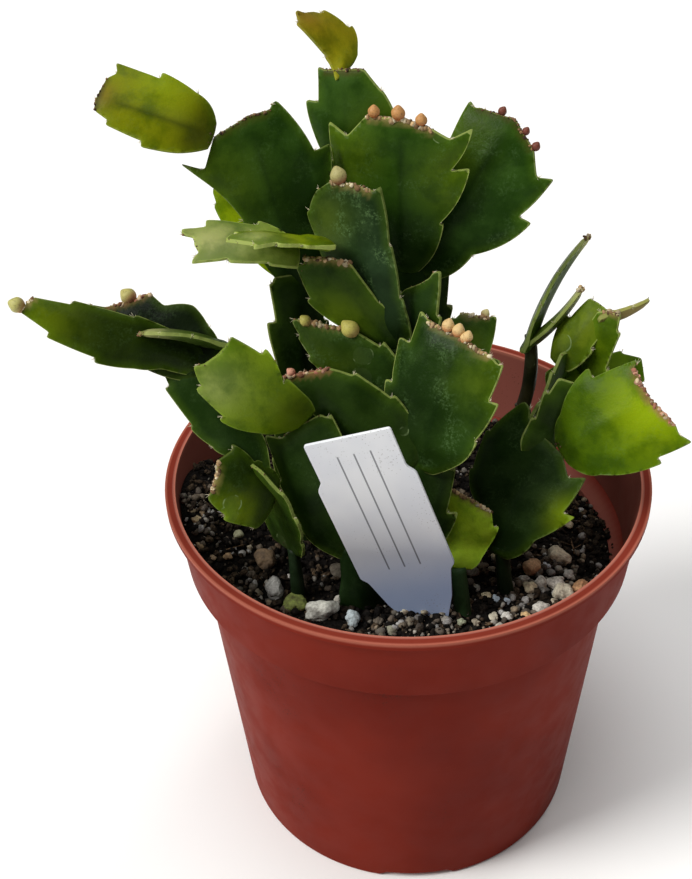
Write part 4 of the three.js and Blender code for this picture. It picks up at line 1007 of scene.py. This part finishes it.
def distances(points, ring):
    """How far each point lies from the outline, with numpy."""
    starts = np.array([tuple(p) for p in ring])
    runs = np.roll(starts, -1, axis=0) - starts
    here = np.array([tuple(p) for p in points])[:, None, :] - starts[None, :, :]
    share = np.clip((here * runs).sum(axis=2) / (runs ** 2).sum(axis=1), 0, 1)
    return np.linalg.norm(here - share[:, :, None] * runs, axis=2).min(axis=1)


def half_thickness(row, x, y, edge):
    t = min(max(x / row["length"], 0), 1)
    skin = mix(margin_half_thickness, wing_half_thickness, ease(edge, -0.9, 3.2))
    ridge = math.exp(-(y / rib_spread) ** 2) * ease(edge, 0, 3)
    rib = (rib_half_thickness * (1.1 - 0.4 * t) - skin) * ridge
    neck = (neck_half_thickness - skin) * (1 - ease(x, 0, 3)) * ease(edge, -0.3, 1.2)
    return skin + max(rib, neck, 0)


patch_tones = {
    # fresh: the yellow-green of new growth, and in part painted light: the glow of a lit segment.
    "fresh_and_lit": (146, 170, 2), "old": (16, 26, 11), "pale": (158, 168, 104), "cream": (206, 200, 140),
    "blue": (60, 88, 58), "rust": (112, 62, 30),
}
neck_shade = (26, 38, 13)
crust_stains = {"plain": (146, 118, 78), "brown": (62, 40, 24), "rosy": (150, 98, 74)}


def top_distance(row, x, y):
    """How far below the cut top edge a point lies."""
    corner = row["apex"][0 if y > 0 else 1]
    share = abs(y) / corner[1]
    return mix(row["length"], corner[0], share) - x if share < 1 else 9


def skin_tint(row, x, y):
    """The skin's colour at a point: its own tint and its patches, some of them partly painted light and
    painted shadow, darker near the neck, stained at the crust.
    """
    tint = Vector(colour(*row["skin"])[:3])
    for along, out, radius, amount, tone in row.get("patches", ()):
        share = amount * math.exp(-((x - along) ** 2 + (y - out) ** 2) / radius ** 2)
        tint = tint.lerp(Vector(colour(*patch_tones[tone])[:3]), share)
    if "stub" not in row:
        near_neck = 1 - ease(x / row["length"], 0, 0.22)
        tint = tint.lerp(Vector(colour(*neck_shade)[:3]), 0.35 * near_neck)
        if row.get("corks"):
            ragged = 0.9 + 0.5 * noise.noise(Vector((y * 1.7, x, row["aim"][0])))
            stain = 0.85 * (1 - ease(top_distance(row, x, y), 0.3 * ragged, 1.5 * ragged))
            tint = tint.lerp(Vector(colour(*crust_stains[row.get("crust", "plain")])[:3]), stain)
    return (*tint, 1)


def traits_at(row, x, y):
    """How far the rib line, the pale margin line, which is partly painted highlight, and the pale grain
    show at a point.
    """
    share = x / row["length"]
    line = math.exp(-(y / 0.8) ** 2) * ease(share, 0.04, 0.2) * (1 - ease(share, 0.72, 1))
    rim = row.get("rim", young_rim if row["node"].startswith("young") else old_rim)
    return row.get("fold", usual_fold) * line, rim, row.get("grain", usual_grain), 1


def cut_in_squares(bm, face, ring):
    """The flat face cut along and across every skin_step, so that it can be arched and cupped."""
    geom = [face] + list(face.edges) + list(face.verts)
    for axis, normal in enumerate(((1, 0, 0), (0, 1, 0))):
        low = min(point[axis] for point in ring)
        high = max(point[axis] for point in ring)
        for k in range(math.ceil(low / skin_step), math.floor(high / skin_step) + 1):
            point = [k * skin_step * part for part in normal]
            cut = bmesh.ops.bisect_plane(bm, geom=geom, dist=cut_slack, plane_co=point, plane_no=normal)
            geom = cut["geom"]
    return [part for part in geom if isinstance(part, bmesh.types.BMFace)]


def add_blade(bm, layers, place):
    """One flat segment: its outline, rimmed, cut in squares, given its second face and shaped."""
    row = place["row"]
    young = row["node"].startswith("young")
    reach = row.get("root", -0.9 if young else 2) + 0.6
    sunk = foot_depth if is_rooted(row) else reach
    ring = outline_of(row, sunk)[0]
    sheet = bm.faces.new([bm.verts.new((x, y, 0)) for x, y in ring])
    rim = bmesh.ops.inset_individual(bm, faces=[sheet], thickness=rim_width, use_even_offset=False)
    faces = rim["faces"] + cut_in_squares(bm, sheet, ring)
    lower = set(vert for face in faces for vert in face.verts)
    made = bmesh.ops.extrude_face_region(bm, geom=faces)["geom"]
    upper = set(part for part in made if isinstance(part, bmesh.types.BMVert))
    verts = list(lower) + list(upper)
    flat = [(vert.co.x, vert.co.y) for vert in verts]
    edges = distances(flat, ring)
    for vert, (x, y), edge in zip(verts, flat, edges):
        half = half_thickness(row, x, y, edge) * (1 if vert in upper else -1)
        vert.co = on_segment(place, x, y, half)
        vert[layers["edge"]] = edge
        vert[layers["traits"]] = traits_at(row, x, y)
        vert[layers["tint"]] = skin_tint(row, x, y)


def add_stub(bm, layers, place):
    """An old woody segment: a gnarled oval stalk."""
    row = place["row"]
    half_width = row["stub"]
    half_depth = min(stub_half_depth, half_width)
    below = foot_depth if is_rooted(row) else stub_root
    made = bmesh.ops.create_circle(bm, cap_ends=True, segments=stub_sides, radius=1)["verts"]
    for vert in made:
        vert.co = (-below, vert.co.x * half_width, vert.co.y * half_depth)
    face = made[0].link_faces[0]
    rings = math.ceil((below + row["length"]) / stub_step)
    run = (below + row["length"]) / rings
    verts = set(made)
    for k in range(rings):
        made = bmesh.ops.extrude_face_region(bm, geom=[face])["geom"]
        if k > 0:
            bm.faces.remove(face)
        face = [part for part in made if isinstance(part, bmesh.types.BMFace)][0]
        for vert in face.verts:
            vert.co.x += run
        verts.update(face.verts)
    for vert in verts:
        x, y, z = vert.co
        knot = noise.noise(Vector((x * 0.14, y * 0.9, row["aim"][0])))
        rough = 1 + 0.16 * knot - 0.12 * ease(x, 0, row["length"])
        vert.co = on_segment(place, x, y * rough, z * rough)
        vert[layers["edge"]] = 3
        vert[layers["traits"]] = (0, 0, 0.1, 1)
        vert[layers["tint"]] = skin_tint(row, x, y)


clouded_skin = (186, 200, 180)
crease_tone = (12, 28, 9)
speckle_tone = (104, 136, 84)
water_mark = (132, 152, 104)
fresh_edge = (96, 130, 14)
margin_line_and_highlight = (164, 176, 96)


def skin_group():
    """Shared by old and young skin: clouding, pale speckles, dried water rings and a fine grain."""
    outputs = ("Cloud", "Speckle", "Ring", "Height")
    tree, given, result = new_group("skin_markings", {"Rings": 0.5}, outputs)
    place = place_of(tree)
    cloud = mottle(tree, place, 130.0, 4.0, 0.6)
    dots = cells(tree, place, 1500.0)
    patch = ramp(tree, mottle(tree, place, 210.0, 2.0), 0.45, 0.7)
    dot = ramp(tree, dots["Distance"], 0.26, 0.12)
    grainy = ramp(tree, mottle(tree, place, 1500.0, 3.0, 0.7), 0.45, 0.7)
    speckle = times(tree, arithmetic(tree, "MAXIMUM", dot, grainy), patch)
    drops = cells(tree, place, 112.0)
    distance = drops["Distance"]
    band = times(tree, ramp(tree, distance, 0.225, 0.24), ramp(tree, distance, 0.262, 0.247))
    broken = ramp(tree, mottle(tree, place, 380.0, 2.0), 0.5, 0.62)
    chance = add_node(tree, "ShaderNodeSeparateColor", {0: drops["Color"]}).outputs[0]
    few = ramp(tree, chance, 0.78, 0.8)
    ring = times(tree, times(tree, band, broken), few)
    film = times(tree, times(tree, ramp(tree, distance, 0.25, 0.22), few), 0.08)
    marks = times(tree, arithmetic(tree, "MAXIMUM", ring, film), given["Rings"])
    grain = mottle(tree, place, 2300.0, 3.0)
    coarse = mottle(tree, place, 420.0, 2.0)
    height = arithmetic(tree, "ADD", grain, times(tree, coarse, 2.0))
    for key, value in zip(outputs, (cloud, speckle, marks, height)):
        tree.links.new(value, result.inputs[key])
    return tree


skin_markings = skin_group()


def skin_material(name, rings, thinness):
    """The waxy skin: each segment's own tint, a dark line on the rib and a pale one at the margin, partly
    painted highlight.
    """
    material, tree, shader = new_material(name, 0.42, 0.07)
    own = own_tint(tree)
    edge = add_node(tree, "ShaderNodeAttribute", attribute_name="edge").outputs["Fac"]
    traits = add_node(tree, "ShaderNodeAttribute", attribute_name="traits").outputs["Color"]
    shown = add_node(tree, "ShaderNodeSeparateColor", {0: traits})
    marks = placed_group(tree, skin_markings, rings=rings)
    dark = blend(tree, 1.0, own, clouded_skin, "MULTIPLY")
    clouded = blend(tree, ramp(tree, marks["Cloud"], 0.36, 0.62), dark, own)
    folded = blend(tree, shown.outputs[0], clouded, crease_tone)
    grain = times(tree, marks["Speckle"], shown.outputs[2])
    grainy = blend(tree, times(tree, grain, 0.55), folded, speckle_tone)
    ringed = blend(tree, marks["Ring"], grainy, water_mark)
    fresh_margin = times(tree, ramp(tree, edge, 2.2, 0.2), 0.14)
    margined = blend(tree, fresh_margin, ringed, fresh_edge)
    # The pale margin line: the plant's own pale margin, made stronger as painted highlight where light
    # catches the margins.
    line = times(tree, ramp(tree, edge, 0.22, 0.05), shown.outputs[1])
    margin_lined_and_lit = blend(tree, line, margined, margin_line_and_highlight)
    tree.links.new(margin_lined_and_lit, shader.inputs["Base Color"])
    waxy = ramp(tree, marks["Cloud"], 0.3, 0.7, 0.34, 0.5)
    tree.links.new(waxy, shader.inputs["Roughness"])
    shader.inputs["Subsurface Weight"].default_value = thinness
    shader.inputs["Subsurface Radius"].default_value = (0.5, 1.0, 0.1)
    shader.inputs["Subsurface Scale"].default_value = 1.2 * mm
    set_bump(tree, shader, marks["Height"], 0.09 * mm, 0.6)
    return material


grown_skin = skin_material("grown_skin", 0.6, 0.0)
young_skin = skin_material("young_skin", 0.08, 0.1)
node_names = list(dict.fromkeys(row["node"] for row in segments))

for node in node_names:
    young = node.startswith("young")
    bm = bmesh.new()
    layers = {key: bm.verts.layers.float_color.new(key) for key in ("tint", "traits")}
    layers["edge"] = bm.verts.layers.float.new("edge")
    for place in places.values():
        if place["row"]["node"] == node and "stub" in place["row"]:
            add_stub(bm, layers, place)
        elif place["row"]["node"] == node:
            add_blade(bm, layers, place)
    bmesh.ops.recalc_face_normals(bm, faces=bm.faces[:])
    skin = add_object(node + "_skin", bm, young_skin if young else grown_skin)
    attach(skin, "root")
    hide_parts(node)

# Areole crust, buds and bristles
# Along a segment's cut top edge its areoles grow together into a corky crust, cream when fresh and
# brown when old, with flower buds starting in it. Each notch of the margins carries a tuft of short
# bristles, and a collar of cork closes each joint.
crust_density = 5.5
bare_density = 1.6
collar_lumps = 6
bristle_foot = 0.075
bristle_tip = 0.02
cork_dirt = (72, 48, 30)
hair_tone = (216, 208, 176)
hair_root_tone = (150, 120, 84)
crust_tones = {
    "plain": ((208, 190, 150), (188, 158, 116), (156, 126, 88), (218, 204, 170), (118, 90, 60)),
    "brown": ((84, 58, 38), (60, 42, 28), (116, 84, 56), (140, 108, 74)),
    "rosy": ((196, 148, 122), (170, 112, 90), (204, 180, 146), (128, 84, 60)),
}
old_tones = ((90, 70, 44), (66, 52, 32), (112, 92, 58))
bud_tones = {
    "k3": ((160, 88, 46), (190, 138, 82)), "k4": ((84, 38, 28), (112, 58, 42)),
    "h6": ((142, 86, 62), (168, 160, 104)), "l3": ((150, 116, 66), (180, 176, 104)),
    "l4": ((160, 100, 70), (178, 170, 100)), "d1": ((196, 128, 82), (214, 182, 126)),
    "d2": ((176, 92, 76), (206, 146, 122)), "h2": ((176, 148, 88), (190, 182, 92)),
}
plain_bud_tones = ((176, 116, 78), (200, 188, 130))


def top_edge(place, share):
    """A point on the cut top edge, from the left corner at 0 to the right corner at 2."""
    row = place["row"]
    corner = row["apex"][0 if share < 1 else 1]
    far = abs(1 - share)
    return mix(row["length"], corner[0], far), far * corner[1] * (1 if share < 1 else -1)


def lumpy_material(name, roughness):
    material, tree, shader = new_material(name, roughness, 0.3)
    place = place_of(tree)
    own = own_tint(tree)
    grain = mottle(tree, place, 2600.0, 4.0)
    dirt = times(tree, ramp(tree, grain, 0.5, 0.75), 0.45)
    tree.links.new(blend(tree, dirt, own, cork_dirt), shader.inputs["Base Color"])
    set_bump(tree, shader, grain, 0.1 * mm, 0.6)
    return material


def make_crust():
    draw = random.Random(43)
    lumps = []
    for place in places.values():
        row = place["row"]
        if "stub" not in row:
            corks = row.get("corks", 0)
            kind = row.get("crust", "plain")
            width = row["apex"][0][1] + row["apex"][1][1]
            count = round(width * (crust_density if corks else bare_density))
            for i in range(count):
                x, y = top_edge(place, 2 * (i + draw.random()) / count)
                size = 0.2 + 0.44 * draw.random() ** 1.4 if corks else draw.uniform(0.1, 0.22)
                size *= 0.6 if kind == "brown" else 1
                rgb = dim(draw.choice(crust_tones[kind] if corks else old_tones), draw.uniform(0.75, 1.1))
                centre = on_segment(place, x - draw.uniform(0.1, 0.9) * size, y, draw.uniform(-0.45, 0.45))
                lumps.append((centre, size, rgb, 2 if size > 0.3 else 1))
        if not is_rooted(row):
            for i in range(collar_lumps):
                x, y = draw.uniform(-0.6, 0.5), draw.uniform(-0.5, 0.5) * neck_width
                side = neck_half_thickness * draw.choice((-1, 1)) * draw.uniform(0.5, 0.95)
                rgb = dim(draw.choice(old_tones), draw.uniform(0.75, 1.1))
                lumps.append((on_segment(place, x, y, side), draw.uniform(0.14, 0.3), rgb, 1))
    return heap("areole_crust", lumps, lumpy_material("cork", 0.85), draw)


def make_buds():
    bm, tint = tinted_bmesh()
    for place in places.values():
        row = place["row"]
        base_tone, tip_tone = bud_tones.get(row["name"], plain_bud_tones)
        for along, out, radius in row.get("buds", ()):
            made = bmesh.ops.create_uvsphere(bm, u_segments=20, v_segments=14, radius=1)["verts"]
            if abs(out) < row["apex"][0 if out > 0 else 1][1]:
                along = min(along, along + top_distance(row, along, out) + 0.85 * radius)
            centre = on_segment(place, along, out)
            for vert in made:
                level = vert.co.z
                slim = 1 - 0.32 * ease(level, 0.1, 1) - 0.1 * ease(level, -0.4, -1)
                ribs = 1 + 0.035 * math.cos(6 * math.atan2(vert.co.y, vert.co.x))
                across = radius * slim * ribs
                shape = place["side"] * vert.co.x * across + place["face"] * vert.co.y * across
                vert.co = centre + shape + place["rib"] * level * radius * 1.15
                share = ease(level, -0.9, 0.1)
                vert[tint] = colour(*[mix(a, b, share) for a, b in zip(base_tone, tip_tone)])
    bmesh.ops.recalc_face_normals(bm, faces=bm.faces[:])
    return add_object("flower_buds", bm, lumpy_material("bud", 0.5))


def add_bristle(bm, root, way, length):
    """One stiff hair, standing at its root."""
    turn = way.to_track_quat("Z", "Y").to_matrix().to_4x4()
    spot = Matrix.Translation(root + way.normalized() * 0.5 * length) @ turn
    made = bmesh.ops.create_cone(
        bm, cap_ends=True, segments=3, radius1=bristle_foot, radius2=bristle_tip, depth=length, matrix=spot,
    )["verts"]
    for vert in made:
        vert[bm.verts.layers.float_color["tint"]] = colour(*hair_tone)


def make_bristles():
    whole = bmesh.new()
    draw = random.Random(57)
    for place in places.values():
        row = place["row"]
        if "stub" in row:
            continue
        batch = tinted_bmesh()[0]
        spots = [(point.x, point.y, draw.randint(4, 7)) for point in outline_of(row, 2)[1]]
        for i in range(row.get("corks", 0)):
            spots.append((*top_edge(place, 2 * (i + 0.5) / row["corks"]), 1))
        for x, y, hairs in spots:
            root = on_segment(place, x, y)
            add_lump(batch, (root, 0.26, hair_root_tone, 1), draw)
            outwards = place["side"] * (1 if y > 0 else -1) * 0.75 + place["rib"] * 0.65
            for i in range(hairs):
                way = outwards + Vector([draw.gauss(0, 0.4) for axis in range(3)])
                add_bristle(batch, root, way, draw.uniform(0.5, 1.3) * (1 if hairs > 1 else 0.7))
        pour(batch, whole)
    return add_object("areole_bristles", whole, lumpy_material("bristle", 0.6))


for piece in (make_crust(), make_buds(), make_bristles()):
    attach(piece, "root")

# Plant tag
# A stiff white card of plastic, cut with a pointed foot and a shouldered head and pushed into the mix.
# It is bare but for thin ruled lines.
tag_half_thickness = 0.35
tag_aim = (180, 72, -97.3)
tag_start = Vector((2.7, -29, 78))
card_white = (238, 240, 243)
card_grey = (228, 231, 237)
foot_shade_and_sky = (160, 186, 230)
ink_tone = (70, 72, 82)
card_dirt = (96, 84, 72)
ruled_lines = (-3.4, 0.0, 3.4)
tag_outline = [
    (-11, 0), (-8, 1.6), (4.5, 7), (12.3, 9.1), (13.7, 10.3), (39.5, 10.3), (41.5, 8.9), (51.5, 8.9),
]


def tag_plastic():
    material, tree, shader = new_material("tag_plastic", 0.38, 0.5)
    place = place_of(tree)
    uv = add_node(tree, "ShaderNodeUVMap", uv_map="card").outputs[0]
    parts = add_node(tree, "ShaderNodeSeparateXYZ", {0: uv})
    along = parts.outputs["X"]
    across = parts.outputs["Y"]
    cloud = ramp(tree, mottle(tree, place, 60.0), 0.35, 0.65)
    white = blend(tree, cloud, card_white, card_grey)
    # Painted shade and painted sky reflection: the card turns darker and bluer towards its foot.
    blue = times(tree, ramp(tree, along, 26.0, 4.0), 0.85)
    shaded = blend(tree, blue, white, foot_shade_and_sky)
    ink = None
    for line in ruled_lines:
        from_line = arithmetic(tree, "ABSOLUTE", arithmetic(tree, "SUBTRACT", across, line))
        on_line = ramp(tree, from_line, 0.2, 0.14)
        ink = on_line if ink is None else arithmetic(tree, "MAXIMUM", ink, on_line)
    within = times(tree, ramp(tree, along, 15.0, 15.4), ramp(tree, along, 47.4, 47.0))
    printed = times(tree, times(tree, ink, within), 0.75)
    ruled = blend(tree, printed, shaded, ink_tone)
    specks = placed_group(tree, dust, grains=1500.0, patches=90.0, cover=0.5)["Mask"]
    dirt = times(tree, specks, 0.3)
    tree.links.new(blend(tree, dirt, ruled, card_dirt), shader.inputs["Base Color"])
    set_bump(tree, shader, mottle(tree, place, 500.0), 0.02 * mm, 0.4)
    return material


def make_tag():
    bm = bmesh.new()
    ring = tag_outline + [(along, -out) for along, out in reversed(tag_outline) if out > 0]
    sheet = bm.faces.new([bm.verts.new((x, y, -tag_half_thickness)) for x, y in ring])
    made = bmesh.ops.extrude_face_region(bm, geom=[sheet])["geom"]
    for part in made:
        if isinstance(part, bmesh.types.BMVert):
            part.co.z = tag_half_thickness
    bmesh.ops.recalc_face_normals(bm, faces=bm.faces[:])
    corners = [edge for edge in bm.edges if edge.verts[0].co.z * edge.verts[1].co.z < 0]
    for edges, offset, cuts in ((corners, 0.5, 3), (None, 0.12, 2)):
        bmesh.ops.bevel(
            bm, geom=edges or bm.edges[:], affect="EDGES", offset=offset, segments=cuts, profile=0.5,
            material=-1, clamp_overlap=True,
        )
    card = bm.loops.layers.uv.new("card")
    for face in bm.faces:
        for loop in face.loops:
            loop[card].uv = (loop.vert.co.x, loop.vert.co.y)
    turn = Matrix(directions(tag_aim)).transposed().to_4x4()
    bmesh.ops.transform(bm, matrix=Matrix.Translation(tag_start) @ turn, verts=bm.verts[:])
    piece = add_object("tag_card", bm, tag_plastic())
    flat = piece.modifiers.new("flat faces", "WEIGHTED_NORMAL")
    flat.keep_sharp = True
    return piece


tag = make_tag()
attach(tag, "root")
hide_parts("plant_tag")

# Floor and lights
# A plain pale floor under a sky that looks white and lights little, with a soft lamp high on the left,
# one overhead and a weak one behind. They stand for the window light that the photograph was taken in.


def floor_paint():
    material, tree, shader = new_material("floor_paint", 0.75, 0.2)
    place = place_of(tree)
    tone = ramp(tree, mottle(tree, place, 6.0), 0.3, 0.7)
    pale = blend(tree, tone, (250, 250, 250), (253, 253, 252))
    tree.links.new(pale, shader.inputs["Base Color"])
    return material


floor_half_width = 3000
bm = bmesh.new()
bmesh.ops.create_grid(bm, x_segments=2, y_segments=2, size=floor_half_width)
floor = add_object("floor", bm, floor_paint())


def add_lamp(name, spot, softness, strength, tone):
    """A far lamp, which shines from a spot towards the pot. softness is how wide it looks, in degrees."""
    data = bpy.data.lights.new(name, "SUN")
    data.angle = math.radians(softness)
    data.energy = strength
    data.color = tone
    lamp = bpy.data.objects.new(name, data)
    bpy.context.scene.collection.objects.link(lamp)
    way = -Vector(spot)
    lamp.matrix_world = Matrix.Translation(spot) @ way.to_track_quat("-Z", "Y").to_matrix().to_4x4()


add_lamp("window", (-0.85, -0.25, 0.8), 23, 2.5, (1.0, 0.98, 0.95))
add_lamp("back_window", (0.55, 0.7, 0.88), 22, 0.4, (1.0, 0.99, 0.96))
add_lamp("ceiling", (-0.1, 0.0, 1.2), 35, 1.25, (1.0, 1.0, 0.99))
world = bpy.data.worlds.new("sky")
world.use_nodes = True
sky = world.node_tree
seen = add_node(sky, "ShaderNodeLightPath").outputs["Is Camera Ray"]
strength = arithmetic(sky, "ADD", times(sky, seen, 0.8), 0.17)
sky.links.new(strength, sky.nodes["Background"].inputs["Strength"])
sky.nodes["Background"].inputs["Color"].default_value = (1, 1, 1, 1)
bpy.context.scene.world = world
bpy.context.scene.view_settings.view_transform = "Standard"
